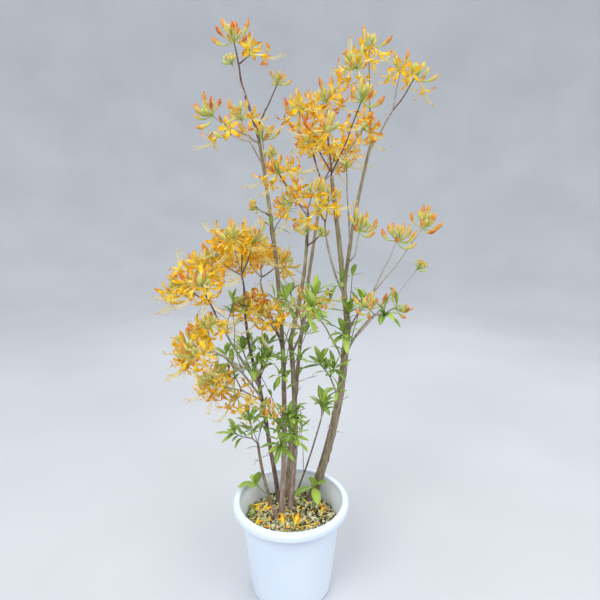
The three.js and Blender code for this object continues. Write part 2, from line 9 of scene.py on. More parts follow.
import bpy
import numpy as np
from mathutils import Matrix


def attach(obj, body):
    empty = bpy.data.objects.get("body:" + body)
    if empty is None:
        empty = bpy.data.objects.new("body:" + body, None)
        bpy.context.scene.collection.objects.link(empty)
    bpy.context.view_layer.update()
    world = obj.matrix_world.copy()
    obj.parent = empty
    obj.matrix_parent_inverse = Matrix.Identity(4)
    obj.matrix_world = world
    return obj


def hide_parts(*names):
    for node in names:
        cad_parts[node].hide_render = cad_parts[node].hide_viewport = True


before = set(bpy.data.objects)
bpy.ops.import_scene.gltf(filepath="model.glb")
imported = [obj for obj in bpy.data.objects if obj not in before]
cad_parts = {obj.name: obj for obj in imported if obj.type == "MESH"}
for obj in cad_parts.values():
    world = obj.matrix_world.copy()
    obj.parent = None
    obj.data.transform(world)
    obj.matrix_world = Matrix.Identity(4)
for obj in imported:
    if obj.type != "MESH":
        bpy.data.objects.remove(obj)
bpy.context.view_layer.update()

MM = 0.001
UP = np.array([0.0, 0.0, 1.0])
RIGHT = np.array([1.0, 0.0, 0.0])

# The camera stands where the photograph was taken from
CAMERA_PLACE = (0.0187, -0.853, 0.769)
CAMERA_PITCH = 10.2
CAMERA_LENS = 27.0
CAMERA_SENSOR = 36.0

# The pot and its filling, as in the part's source
POT = dict(height=198, rim_radius=120, rim_band=14, rim_depth=16, shoulder_radius=103,
           base_radius=84, chamfer=4, wall=2.6, floor=4)
SOIL = dict(level=150, edge_drop=5, flat_radius=84, slope=14)
# The heap round the stems: its middle, height and radius
HEAP = (-6, 34, 2.5, 40)

# How much wider a stem's foot and a bough's collar are, as a share, and over what length that dies away
FLARE = (0.3, 11)
COLLAR = (0.35, 7)

# The stems: name, foot on the soil, tip, sideways bow half way up, radii at foot and tip, and bark, with
# a second kind where the upper half differs
STEMS = [
    ("stem_right", (43, 67), (112, 15, 569), (16, -4, 0), (10, 6.6), "leaning"),
    ("stem_centre", (-4, 30), (-1, 20, 528), (11, 8, 0), (6.4, 4.6), "mauve grey"),
    ("stem_left_centre", (-21, 17), (-59, 25, 921), (22, 16, 0), (6, 3), "mauve olive"),
    ("stem_left", (-27, 50), (-67, 5, 462), (2, -2, 0), (5, 3.6), "purple"),
    ("stem_left_outer", (-40, 35), (-73, 60, 285), (-4, 0, 0), (4, 2.8), "grey"),
    ("stem_slender", (8, 80), (64, 50, 348), (3, 2, 0), (2.2, 1.6), "grey"),
    ("stem_back", (-12, 70), (57, 118, 777), (-7, 8, 0), (4.8, 3.2), "grey"),
    ("old_stump", (-30, -4), (-35, -8, 178), (0, 0, 0), (5.6, 5), "grey"),
]

# The boughs: name, parent limb, where along it they leave, tip, bow half way, radii, bark
BOUGHS = [
    ("bough_right_upper", "stem_right", 1, (74, -40, 843), (0, -3, 0), (5.6, 3.4), "olive"),
    ("bough_right_back", "bough_right_upper", 0.24, (154, 45, 912), (-4, 6, 0), (3.8, 2.8), "olive"),
    ("bough_right_low", "stem_right", 0.82, (154, -35, 590), (-3, -4, 10), (2.6, 1.8), "pale"),
    ("bough_mid", "bough_right_upper", 0.2, (62, -60, 757), (-7, -8, 0), (2.4, 1.7), "pale"),
    ("bough_centre_upper", "stem_centre", 1, (33, -40, 780), (8, 6, 0), (4.2, 2.6), "olive"),
    ("bough_top_left", "stem_left_centre", 1, (-86, 15, 1007), (0, 0, 0), (2.7, 2.1), "purple"),
    ("bough_left_upper", "stem_left", 1, (-84, -35, 640), (-7, 2, 0), (3.2, 2.2), "purple"),
    ("bough_left_outer", "stem_left", 0.92, (-129, -85, 606), (0, -8, 0), (2.6, 1.8), "pale"),
    ("bough_left_low", "stem_left", 0.84, (-107, -95, 528), (0, -4, 6), (2.4, 1.8), "pale"),
    ("bough_left_back", "stem_left_centre", 0.48, (-66, 104, 632), (-4, 5, 0), (2.8, 2), "olive"),
    ("bough_centre_low", "stem_centre", 0.93, (30, -45, 596), (3, -4, 0), (2.4, 1.8), "olive"),
]

# The masses: name, the limb and place that each grows from, the bearing and tilt of its axis, the length
# of its stalk, the lengths of its first and last shoot, what the ends of its shoots bear, and where needed
# the spread of the first and the last shoot, the bearing of the first, and the turn to the next
MASSES = [
    ("crown_top_left", "bough_top_left", 1, (212, 10), 34, (42, 26), "bud single", (3, 62), 212, 150),
    ("sprig_top_left", "bough_top_left", 0.74, (206, 25), 28, (38, 38), "green"),
    ("spray_inner_bud", "bough_top_left", 0.12, (29, 27), 40, (60, 60), "small"),
    ("spray_far_left", "stem_left_centre", 0.982, (212, 66), 40, (66, 66), "bud"),
    ("spray_high_left", "stem_left_centre", 0.93, (240, 46), 56, (46, 44), "few single", (40, 34), 96, 110),
    ("cluster_stem_top", "stem_left_centre", 0.91, (290, 34), 16, (52, 32), "bud green", (32, 22), 120),
    ("sprig_stem_mid", "stem_left_centre", 0.81, (228, 66), 14, (28, 28), "green"),
    ("crown_candelabra", "bough_right_upper", 1, (300, 5), 6, (132, 94), "open bud mixed mixed open",
     (20, 46), 108, 216),
    ("crown_back", "stem_back", 1, (20, 8), 66, (96, 84), "open mixed open open", (24, 40), 190, 200),
    ("spray_centre_left", "bough_centre_upper", 0.97, (215, 40), 34, (62, 62), "mixed"),
    ("cluster_centre", "bough_centre_upper", 1, (250, 16), 8, (35, 30), "mixed open", (58, 27), 209, 96),
    ("cluster_centre_right", "bough_mid", 1, (300, 10), 8, (37, 28), "mixed single", (11, 50), 81, 160),
    ("cluster_centre_buds", "bough_centre_upper", 0.74, (300, 40), 10, (38, 36), "small green", (25, 24),
     189, 175),
    ("crown_top_right", "bough_right_back", 1, (236, 8), 94, (70, 60), "few mixed", (5, 56), 279, 317),
    ("crown_right", "bough_right_back", 0.94, (356, 30), 86, (71, 73), "few few", (22, 1), 175),
    ("sprig_right_pale", "bough_right_back", 0.3, (246, 12), 76, (72, 72), "green"),
    ("spray_right_outer", "stem_right", 0.95, (342, 30), 90, (130, 161), "bud bud", (21, 9), 235, 44),
    ("spray_right_mid", "bough_right_back", 0.18, (290, 60), 34, (52, 52), "bud", (38, 38), 101),
    ("sprig_right_bare", "bough_right_low", 0.45, (357, 40), 90, (92, 92), "green"),
    ("spray_right_low", "bough_right_low", 1, (330, 40), 6, (44, 18), "pair leaf bud", (34, 66), 0, 270),
    ("leaves_right_fork", "stem_right", 0.93, (262, 44), 16, (44, 40), "leaf leaf", (34, 38), 250),
    ("spray_centre_low", "stem_right", 0.8, (209, 30), 90, (72, 72), "mixed"),
    ("leaves_centre", "bough_centre_low", 1, (250, 24), 8, (44, 38), "leaf leaf leaf", (50, 56), 170),
    ("leaves_front_low", "stem_centre", 0.42, (246, 50), 30, (80, 56), "bud leaf leaf leaf", (19, 30), 113,
     -68),
    ("leaves_right_stem", "stem_right", 0.6, (226, 26), 66, (34, 30), "leaf leaf", (20, 34), 150),
    ("leaves_slender", "stem_slender", 1, (10, 10), 6, (36, 28), "leaf leaf", (30, 38), 250),
    ("leaves_left_low", "stem_left_outer", 1, (198, 40), 20, (44, 40), "leaf leaf", (22, 36), 200),
    ("leaves_left_inner", "stem_left", 0.9, (130, 50), 14, (72, 56), "leaf leaf", (21, 58), 282, 48),
    ("basal_leaves_left", "stem_left_outer", 0.2, (200, 40), 12, (34, 34), "leaf"),
    ("basal_leaves_right", "stem_right", 0.07, (262, 52), 20, (16, 16), "leaf"),
    ("bloom_left_upper", "bough_left_upper", 1, (180, 8), 28, (72, 58), "open open mixed open", (20, 46),
     262),
    ("bloom_left_outer", "bough_left_outer", 1, (186, 24), 26, (60, 52), "open open open", (24, 50), 50),
    ("bloom_left_low", "bough_left_low", 1, (200, 58), 28, (48, 44), "open open mixed", (36, 44), 150),
    ("bloom_left_back", "bough_left_back", 1, (60, 14), 14, (64, 56), "open mixed open", (34, 50), 262),
    ("bloom_left_drooping", "stem_left", 0.82, (222, 54), 60, (24, 62), "mixed single open", (46, 13), 276,
     134),
    ("bloom_front", "stem_left_centre", 0.48, (240, 38), 40, (95, 73), "mixed open", (15, 18), 183, 116),
    ("bloom_back", "stem_back", 0.6, (96, 40), 40, (62, 56), "open leaf", (40, 48), 60),
]

# Twig radii, the sag of a shoot, and how far flowers are rooted below and behind a shoot's end
TWIG = dict(root=1.9, fork=1.5, end=1.0, head=2.3, sag=0.05)
ROOT_BELOW = 2
ROOT_BEHIND = 1.6

# What each kind of shoot end carries, with angles from the shoot's own direction. Small buds stand
# inside a head, and more flowers below it in the full bloom on the left.
HEADS = dict(
    open=dict(flowers=7, buds=3, start=8, stop=112, inner=8, more=3),
    mixed=dict(flowers=5, buds=5, start=8, stop=108, inner=8, more=2),
    few=dict(flowers=3, buds=5, start=8, stop=108, inner=6),
    single=dict(flowers=3, start=30, stop=80, inner=3),
    bud=dict(buds=10, start=6, stop=84, inner=9),
    small=dict(buds=8, start=6, stop=80, inner=4, size=0.7),
    pair=dict(buds=4, leaves=3, start=50, stop=80, inner=2),
    green=dict(buds=6, start=10, stop=80, inner=7, size=0.45),
    leaf=dict(leaves=8, start=25, stop=78),
)
NO_HEAD = dict(flowers=0, buds=0, leaves=0, inner=0, more=0, size=1)
GOLDEN_ANGLE = 137.508
DROOP = 0.14
SPACE_MARGIN = 5

# Lengths, with how far they vary, and other sizes
TUBE = (30, 3)
PETAL_LENGTH = (22, 2.5)
BUD_LENGTH = (42, 7)
LEAF_LENGTH = (42, 8)
BUD_RADIUS = 4
LEAF_WIDTH = 13
THROAT_RADIUS = 2.3
STAMEN_LENGTH = 43
# The width of a small leaf as a share of its length
NARROW = 0.3

# Where along a flower, bud or leaf its way is tested, and how far each place keeps from the limbs
TRACK = (0.4, 0.7, 1)
FLOWER_MARGINS = (1.5, 1.5, 6)
BUD_MARGINS = (1, 3, 2)
LEAF_MARGINS = (2, 2, 1)

# Degrees that a petal leans at the throat, opens by, opens further at random, and curls by at its tip
PETAL_LEAN = 14
PETAL_OPENS = 54
PETAL_PLAY = 52
PETAL_CURL = 130

# The range of a random phase of a wave
ANY_PHASE = 6.28


def linear(levels):
    """The shader's colour for red, green and blue levels of 0 to 255."""
    shares = [level / 255 for level in levels]
    return [((s + 0.055) / 1.055) ** 2.4 if s > 0.04045 else s / 12.92 for s in shares] + [1.0]


def unit(vector):
    return vector / np.linalg.norm(vector)


def seeded(seed):
    """A small repeatable stream of numbers from 0 to 1."""
    state = [seed & 0xFFFFFFFF]

    def draw():
        state[0] = (state[0] * 1664525 + 1013904223) & 0xFFFFFFFF
        return state[0] / 4294967296

    draw()
    draw()
    return draw


def stream(name, shift=0):
    """A stream of numbers of a name's own, or one of several by its shift."""
    total = 7
    for letter in name:
        total = (total * 31 + ord(letter)) & 0xFFFFFFFF
    return seeded(total + shift)


def near(draw, middle, spread):
    return middle + spread * (2 * draw() - 1)


def varied(length, share):
    return length[0] + length[1] * share


def lerp(ends, share):
    return ends[0] + (ends[1] - ends[0]) * share


def circle(count):
    """Evenly spaced angles round a whole turn."""
    return np.linspace(0, 2 * math.pi, count, endpoint=False)


def direction(bearing, tilt):
    """The unit vector at a bearing and a tilt, in degrees."""
    b, t = math.radians(bearing), math.radians(tilt)
    return np.array([math.sin(t) * math.cos(b), math.sin(t) * math.sin(b), math.cos(t)])


def sides(axis):
    """Two unit vectors square to an axis and to each other."""
    start = UP if abs(axis[0]) > 0.9 else RIGHT
    u = unit(start - axis * np.dot(axis, start))
    return u, np.cross(axis, u)


def around(axis, bearing, tilt):
    """A bearing and a tilt measured round any axis in place of the vertical."""
    u, v = sides(axis)
    d = direction(bearing, tilt)
    return u * d[0] + v * d[1] + axis * d[2]


class Bow:
    """The line through two points whose middle is pushed aside, read by shares of its length."""

    def __init__(self, start, end, bow):
        self.start, self.end = np.asarray(start, float), np.asarray(end, float)
        self.pull = (self.start + self.end) / 2 + 2 * np.asarray(bow, float)
        self.steps = np.linspace(0, 1, 201)
        hops = np.linalg.norm(np.diff(self.at(self.steps), axis=0), axis=1)
        self.run = np.concatenate([[0], np.cumsum(hops)])
        self.length = self.run[-1]

    def at(self, t):
        t = np.asarray(t, float)[..., None]
        return (1 - t) ** 2 * self.start + 2 * t * (1 - t) * self.pull + t * t * self.end

    def points(self, shares):
        return self.at(np.interp(np.asarray(shares) * self.length, self.run, self.steps))

    def heading(self, share):
        t = np.interp(share * self.length, self.run, self.steps)
        return unit((1 - t) * (self.pull - self.start) + t * (self.end - self.pull))


def placed(name, data):
    """A new object in the scene."""
    thing = bpy.data.objects.new(name, data)
    bpy.context.scene.collection.objects.link(thing)
    return thing


class Batch:
    """Many small surfaces gathered into one piece. A shade is the place of a face's material."""

    def __init__(self):
        self.points, self.loops, self.sizes, self.shades = [], [], [], []
        self.count = 0

    def grid(self, rows, shades, wrap=False, caps=False):
        """A net of points, with one shade for all its faces, each row's, or each face's own."""
        rows = np.asarray(rows, float)
        down, across = rows.shape[:2]
        index = self.count + np.arange(down * across).reshape(down, across)
        left = index if wrap else index[:, :-1]
        right = np.roll(index, -1, axis=1) if wrap else index[:, 1:]
        quads = np.stack([left[:-1], right[:-1], right[1:], left[1:]], axis=-1)
        shades = np.asarray(shades)
        if shades.ndim == 1:
            shades = shades[:, None]
        shades = np.broadcast_to(shades, quads.shape[:2])
        self.gather(rows, quads, np.full(quads[..., 0].size, 4), shades)
        if caps:
            ends = np.stack([index[0][::-1], index[-1]])
            self.gather(np.empty((0, 3)), ends, np.array([across, across]), shades[[0, -1], 0])

    def lumps(self, points, faces, shades):
        """Copies of one closed lump: points (copies, corners, 3), faces as rows of corners."""
        copies, corners = points.shape[:2]
        starts = self.count + corners * np.arange(copies)
        sizes = np.full(copies * len(faces), faces.shape[1])
        self.gather(points, starts[:, None, None] + faces[None], sizes, np.repeat(shades, len(faces)))

    def gather(self, points, loops, sizes, shades):
        self.points.append(points.reshape(-1, 3))
        self.count += points.size // 3
        self.loops.append(loops.ravel())
        self.sizes.append(sizes)
        self.shades.append(shades.ravel())

    def object(self, name, materials):
        """The gathered surfaces as one object."""
        points = np.concatenate(self.points) * MM
        loops = np.concatenate(self.loops)
        sizes = np.concatenate(self.sizes)
        mesh = bpy.data.meshes.new(name)
        mesh.vertices.add(len(points))
        mesh.vertices.foreach_set("co", points.ravel())
        mesh.loops.add(len(loops))
        mesh.loops.foreach_set("vertex_index", loops.astype(np.int32))
        mesh.polygons.add(len(sizes))
        starts = np.concatenate([[0], np.cumsum(sizes)[:-1]])
        mesh.polygons.foreach_set("loop_start", starts.astype(np.int32))
        mesh.polygons.foreach_set("material_index", np.concatenate(self.shades).astype(np.int32))
        mesh.polygons.foreach_set("use_smooth", np.ones(len(sizes), bool))
        for material in materials:
            mesh.materials.append(material)
        mesh.update(calc_edges=True)
        mesh.validate()
        return placed(name, mesh)

    def piece(self, name, materials, slot, replaced=()):
        """The gathered surfaces as one object that rides on the part's body."""
        thing = self.object(name, materials)
        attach(thing, "root")
        if replaced:
            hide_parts(*replaced)


def spine(path):
    """Two side vectors at each point of a path, turning as little as can be."""
    headings = np.gradient(path, axis=0)
    headings /= np.linalg.norm(headings, axis=1)[:, None]
    u = sides(headings[0])[0]
    across = []
    for heading in headings:
        u = unit(u - heading * np.dot(heading, u))
        across.append(u)
    return np.array(across), np.cross(headings, across)


def tube(batch, path, radii, count, shades):
    """A closed tube along a path. radii holds one for each point, or one for each point and side."""
    across, other = spine(path)
    radii = np.asarray(radii, float)
    if radii.ndim == 1:
        radii = radii[:, None]
    turn = circle(count)[None, :, None]
    rim = np.cos(turn) * across[:, None] + np.sin(turn) * other[:, None]
    batch.grid(path[:, None] + radii[..., None] * rim, shades, wrap=True, caps=True)


# Materials

# The roughness, grain, depth of grain and shine of leaves and crumbs, and the grain of bark
LEAF_LOOK = (0.48, 420, 0.35, 0.45)
CRUMB_LOOK = (0.95, 300, 0.8)
TWIG_GRAIN = 400
BARK_GRAIN = 210


def set_sockets(node, values):
    """Sets sockets by their names, written with _ for a space."""
    for socket, value in values.items():
        node.inputs[socket.replace("_", " ")].default_value = value


class Finish:
    """A node material with helpers for its grain."""

    def __init__(self, name, colour, roughness, **settings):
        self.material = bpy.data.materials.new(name)
        self.material.use_nodes = True
        self.nodes = self.material.node_tree.nodes
        self.shader = self.nodes["Principled BSDF"]
        set_sockets(self.shader, dict(settings, Base_Color=linear(colour), Roughness=roughness))

    def link(self, source, node, socket):
        self.material.node_tree.links.new(source, node.inputs[socket])

    def add(self, kind, source, socket, **values):
        """A new node that takes a source into one of its sockets."""
        node = self.nodes.new("ShaderNode" + kind)
        set_sockets(node, values)
        self.link(source, node, socket)
        return node

    def noise(self, scale, detail=3.0, stretch=(1, 1, 1), lean=(0, 0)):
        """A noise whose marks are drawn out along an axis with the tilt and bearing of lean."""
        place = self.nodes.new("ShaderNodeTexCoord").outputs["Object"]
        mapping = self.add("Mapping", place, "Vector", Rotation=(0, *np.radians(lean)), Scale=stretch)
        mapping.vector_type = "TEXTURE"
        node = self.add("TexNoise", mapping.outputs["Vector"], "Vector", Scale=scale, Detail=detail)
        return node.outputs["Fac"]

    def ramp(self, source, stops):
        """Colours or greys along a number, as (place, red, green, blue levels)."""
        node = self.add("ValToRGB", source, "Fac")
        points = node.color_ramp.elements
        while len(points) < len(stops):
            points.new(0.5)
        for point, (place, *levels) in zip(points, stops):
            point.position = place
            point.color = linear(levels)
        return node.outputs["Color"]

    def colour(self, source):
        self.link(source, self.shader, "Base Color")

    def rough(self, source, low, high):
        node = self.add("MapRange", source, "Value", To_Min=low, To_Max=high)
        self.link(node.outputs["Result"], self.shader, "Roughness")

    def mix(self, first, second, share):
        node = self.nodes.new("ShaderNodeMix")
        node.data_type = "RGBA"
        self.link(first, node, "A")
        self.link(second, node, "B")
        self.link(share, node, "Factor")
        return node.outputs["Result"]

    def bump(self, source, strength, depth):
        node = self.add("Bump", source, "Height", Strength=strength, Distance=depth * MM)
        self.link(node.outputs["Normal"], self.shader, "Normal")


def soft_finish(name, colour, roughness=0.6, grain=500, depth=0.35, shine=0.2):
    """A plain plant colour with a fine cell grain."""
    finish = Finish(name, colour, roughness, Specular_IOR_Level=shine)
    finish.bump(finish.noise(grain), 0.5, depth)
    return finish.material


def soft_finishes(settings=(), **colours):
    """A plain plant finish for each named colour, with the same further settings."""
    return [soft_finish(name, colour, *settings) for name, colour in colours.items()]


def bark_finish(name, dark, middle, light, scale=BARK_GRAIN, lean=(0, 0)):
    """Bark with lengthwise streaks, paler patches and a rough grain."""
    finish = Finish(name, middle, 0.85)
    streaks = finish.noise(scale, 6.0, (1, 1, 4.5), lean)
    patches = finish.noise(38, 3.0)
    fine = finish.ramp(streaks, [(0.3, *dark), (0.5, *middle), (0.72, *light)])
    broad = finish.ramp(streaks, [(0.32, *middle), (0.7, *light)])
    share = finish.ramp(patches, [(0.34, 0, 0, 0), (0.72, 190, 190, 190)])
    finish.colour(finish.mix(fine, broad, share))
    finish.rough(streaks, 0.7, 0.95)
    finish.bump(finish.noise(scale * 2.5, 5.0, (1, 1, 2.9), lean), 0.7, 0.5)
    return finish.material


def pot_finish(name, low, high):
    """White plastic with a slight blue cast and faint scuffs."""
    finish = Finish(name, high, 0.38, Specular_IOR_Level=0.45)
    cloud = finish.noise(9, 4.0)
    clean = finish.ramp(cloud, [(0.3, *low), (0.7, *high)])
    scuffs = finish.noise(26, 8.0, (1, 1, 0.22))
    worn = finish.ramp(scuffs, [(0.62, 235, 244, 255), (0.78, 194, 206, 222)])
    share = finish.ramp(scuffs, [(0.64, 0, 0, 0), (0.74, 200, 200, 200)])
    finish.colour(finish.mix(clean, worn, share))
    finish.rough(scuffs, 0.3, 0.5)
    finish.bump(finish.noise(160, 4.0), 0.12, 0.3)
    return finish.material


def soil_finish():
    finish = Finish("soil_mix", (84, 70, 54), 0.95)
    crumbs = finish.noise(240, 8.0)
    finish.colour(finish.ramp(crumbs, [(0.3, 44, 34, 27), (0.52, 88, 70, 52), (0.72, 128, 108, 80)]))
    finish.bump(crumbs, 1.0, 1.5)
    return finish.material


PETAL = soft_finishes(petal_yellow=(250, 221, 76), petal_gold=(250, 206, 48), petal_amber=(244, 182, 36),
                      petal_orange=(232, 152, 34), petal_deep=(214, 114, 42))
THROAT = soft_finishes(stalk_green=(184, 192, 104), tube_cream=(240, 228, 150), tube_gold=(244, 210, 110),
                       tube_blush=(236, 176, 100))
BUDS = soft_finishes(bud_green=(170, 188, 90), bud_lime=(204, 207, 118), bud_yellow=(222, 198, 108),
                     bud_orange=(222, 154, 74), bud_red=(203, 108, 62))
STAMEN = [*soft_finishes((0.5,), stamen_cream=(242, 226, 146), stamen_gold=(242, 210, 104)),
          soft_finish("anther_tan", (220, 176, 96), 0.8), soft_finish("stigma_green", (206, 210, 120), 0.5)]
LEAVES = [*soft_finishes(LEAF_LOOK, leaf_fresh=(166, 192, 78), leaf_bright=(144, 173, 68),
                         leaf_mid=(120, 153, 62)),
          soft_finish("leaf_vein", (194, 214, 122), 0.5, 420)]
TWIGS = [
    bark_finish("twig_grey", (132, 120, 112), (166, 155, 146), (196, 188, 180), TWIG_GRAIN),
    bark_finish("twig_purple", (72, 50, 50), (104, 78, 76), (134, 108, 102), TWIG_GRAIN),
    bark_finish("twig_tan", (120, 104, 82), (154, 138, 112), (184, 170, 144), TWIG_GRAIN),
    soft_finish("scale_green", (150, 156, 78), 0.7),
    bark_finish("twig_bleached", (150, 140, 131), (186, 177, 168), (208, 201, 191), TWIG_GRAIN),
]
# The dark, middle and light colour of each bark, and the tilt and bearing of a leaning stem
BARK = {kind: bark_finish("bark_" + kind, *look) for kind, look in dict(
    pale=((126, 114, 102), (162, 150, 136), (192, 182, 168)),
    grey=((110, 94, 76), (146, 129, 106), (176, 162, 136)),
    leaning=((108, 92, 74), (144, 127, 104), (174, 160, 134), BARK_GRAIN, (11.6, -37)),
    mauve=((116, 94, 84), (154, 132, 120), (186, 167, 155)),
    purple=((84, 60, 60), (122, 93, 90), (156, 129, 123)),
    olive=((112, 102, 74), (148, 137, 103), (182, 171, 138)),
).items()}
CRUMBS = [*soft_finishes(CRUMB_LOOK, crumb_dark=(62, 52, 44), crumb_brown=(138, 128, 100),
                         crumb_tan=(190, 182, 144), crumb_pale=(230, 224, 190), crumb_moss=(128, 150, 84)),
          soft_finish("crumb_straw", (212, 208, 148), 0.9, 300, 0.8)]


# Limbs


def relief(draw, ridges, shares, turn, length):
    """Lengthwise ridges, shallow rings and a few swellings of the bark, as shares of a radius."""
    run = shares[:, None] * length
    bark = np.zeros((len(shares), len(turn)))
    for waves, speed, height in ridges:
        bark += height * np.sin(waves * turn + speed * run + ANY_PHASE * draw()
                                + 0.25 * np.sin(0.05 * run + ANY_PHASE * draw()))
    place = 20 + 30 * draw()
    while place < length - 15:
        where = 2 * math.pi * draw()
        width = 4 + 3 * draw()
        height = 0.1 + 0.16 * draw()
        near_it = np.exp(-(((run - place) / width) ** 2))
        bark += height * near_it * (0.45 + 0.55 * np.cos(turn - where))
        place += 28 + 34 * draw()
    return bark


# Ridges: how many go round, their turn along the limb, and their height as a share of its radius
BARK_RIDGES = [(3, 0.006, 0.02), (5, -0.009, 0.016), (8, 0.006, 0.011), (11, -0.008, 0.009),
               (0, 0.33, 0.01)]
TWIG_RIDGES = [(2, 0.04, 0.04), (3, -0.07, 0.03)]


def limb_mesh(batch, curve, radii, foot, kinds, draw):
    """A tapering limb with bark relief, wider at its foot, and one or two kinds of bark."""
    steps = max(12, round(curve.length / 4))
    shares = np.linspace(0, 1, steps + 1)
    count = 26 if radii[0] > 4 else 18
    wider, fade = foot
    width = lerp(radii, shares) * (1 + wider * np.exp(-shares * curve.length / fade))
    swell = 1 + relief(draw, BARK_RIDGES, shares, circle(count), curve.length)
    path = curve.points(shares)
    sway = np.sin(shares * curve.length / 31 + ANY_PHASE * draw()) * np.sin(math.pi * shares)
    path = path + 0.5 * sway[:, None] * np.array([0.8, 0.6, 0])
    # The second kind takes over half way up, patch by patch
    patches = np.array([draw() for _ in range(steps * count)]).reshape(steps, count)
    shades = (shares[1:, None] + 0.5 * patches > 0.75) & (kinds > 1)
    tube(batch, path, width[:, None] * swell, count, shades)


limbs = {}


def point_on(limb, at):
    return limbs[limb][0].points(at)


for name, foot, tip, bow, radii, bark in STEMS:
    limbs[name] = (Bow((*foot, SOIL["level"] - 4), tip, bow), radii, bark, FLARE)
for name, parent, at, tip, bow, radii, bark in BOUGHS:
    limbs[name] = (Bow(point_on(parent, at), tip, bow), radii, bark, COLLAR)

for name, (curve, radii, bark, foot) in limbs.items():
    batch = Batch()
    kinds = [BARK[kind] for kind in bark.split()]
    limb_mesh(batch, curve, radii, foot, len(kinds), stream(name))
    batch.piece("bark_" + name, kinds, "bark", [name])

beads = [(curve.points(np.linspace(0, 1, max(3, int(curve.length / 6)))), radii[0])
         for curve, radii, *_ in limbs.values()]
limb_points = np.concatenate([points for points, _ in beads])
limb_radii = np.concatenate([np.full(len(points), radius) for points, radius in beads])


def way(root, axis, length, shares):
    """Points along a straight line, at shares of its length."""
    return root + axis * length * np.reshape(shares, (-1, 1))


def clears_limbs(points, margins):
    """True where points keep clear of every limb's side by their margins."""
    gaps = np.linalg.norm(limb_points - points[:, None], axis=2) - limb_radii
    return (gaps.min(axis=1) > margins).all()


# Twigs, and the heads at their ends, by the same seeded rule as the solids


def grow(name, on, at, aim, stalk, length, bears, spread=None, first=0, turn=None):
    """The stalk, the shoots and the heads of a mass, from its row."""
    draw = stream(name)
    axis = direction(*aim)
    root = point_on(on, at)
    fork = root + axis * stalk
    kinds = bears.split()
    turn = turn or 360 / len(kinds)
    shoots, heads = [], []
    for i, kind in enumerate(kinds):
        share = i / max(1, len(kinds) - 1)
        bearing = near(draw, first + i * turn, 6)
        tilt = near(draw, lerp(spread, share), 3) if spread else 0
        reach = near(draw, 1, 0.04) * lerp(length, share)
        end = fork + around(axis, bearing, tilt) * reach
        shoot = Bow(fork, end, (0, 0, -TWIG["sag"] * reach))
        heading = shoot.heading(1)
        shoots.append(shoot)
        heads.append(dict(centre=end - ROOT_BELOW * heading, aim=heading, kind=kind, seed=i + 1))
    return dict(name=name, stalk=Bow(root, fork, (0, 0, 0)), shoots=shoots, heads=heads)


masses = [grow(*row) for row in MASSES]
head_centres = np.array([head["centre"] for mass in masses for head in mass["heads"]])
head_owner = np.array([i for i, mass in enumerate(masses) for _ in mass["heads"]])


# Thin dead twigs: the limb that they leave, and each one's place along it, bearing, tilt and length
DRY_TWIGS = [
    ("stem_centre", (0.76, 340, 66, 56)),
    ("stem_slender", (0.3, 120, 6, 150)),
    ("stem_right", (0.42, 240, 40, 34), (0.42, 300, 62, 30)),
    ("stem_left_outer", (0.72, 200, 66, 18), (0.78, 330, 60, 26), (0.95, 215, 80, 30)),
    ("stem_right", (0.58, 330, 48, 34)),
    ("stem_centre", (0.55, 300, 50, 40)),
    ("stem_right", (0.72, 205, 44, 30)),
    ("stem_back", (0.34, 70, 50, 46), (0.78, 150, 55, 38)),
    ("stem_left_centre", (0.66, 110, 60, 34)),
]

# Small tufts of leaves, with the same numbers for their twigs
LEAF_TUFTS = [
    ("bough_left_outer", (0.78, 33, 17, 57)),
    ("bough_left_upper", (0.55, 222, 10, 45), (0.25, 283, 26, 27)),
    ("bough_left_low", (0.45, 187, 45, 44), (0.7, 174, 43, 38)),
    ("stem_left", (0.93, 313, 18, 56), (0.98, 11, 18, 71), (0.72, 264, 54, 32)),
    ("stem_left_outer", (1.0, 288, 34, 76)),
    ("stem_left_centre", (0.56, 300, 65, 35), (0.38, 257, 60, 42), (0.76, 327, 32, 50), (0.7, 239, 16, 69),
     (0.52, 254, 30, 76)),
    ("stem_centre", (0.85, 10, 21, 72), (0.5, 273, 37, 72), (0.36, 287, 32, 86)),
    ("bough_centre_low", (0.8, 356, 65, 29)),
    ("stem_right", (1.0, 285, 13, 94), (0.9, 310, 25, 88), (0.78, 268, 20, 70), (0.62, 259, 50, 42)),
    ("bough_right_upper", (0.18, 251, 34, 45)),
    ("bough_right_low", (0.3, 318, 14, 97)),
    ("stem_back", (0.62, 320, 48, 100)),
    ("stem_left_centre", (0.42, 201, 10, 80), (0.38, 290, 24, 94), (0.46, 7, 19, 68)),
    ("bough_left_outer", (0.6, 103, 24, 64)),
    ("stem_centre", (0.62, 287, 17, 118)),
    ("stem_left", (0.86, 87, 13, 100)),
    ("stem_left_centre", (0.26, 213, 25, 150)),
    ("bough_left_low", (0.55, 238, 26, 54), (0.3, 261, 34, 52)),
    ("stem_left", (0.95, 295, 24, 62)),
    ("stem_left_centre", (0.34, 272, 28, 94)),
    ("stem_left_outer", (0.9, 240, 21, 98)),
    ("stem_centre", (0.3, 243, 33, 110), (0.48, 272, 40, 74)),
]

twigs = Batch()


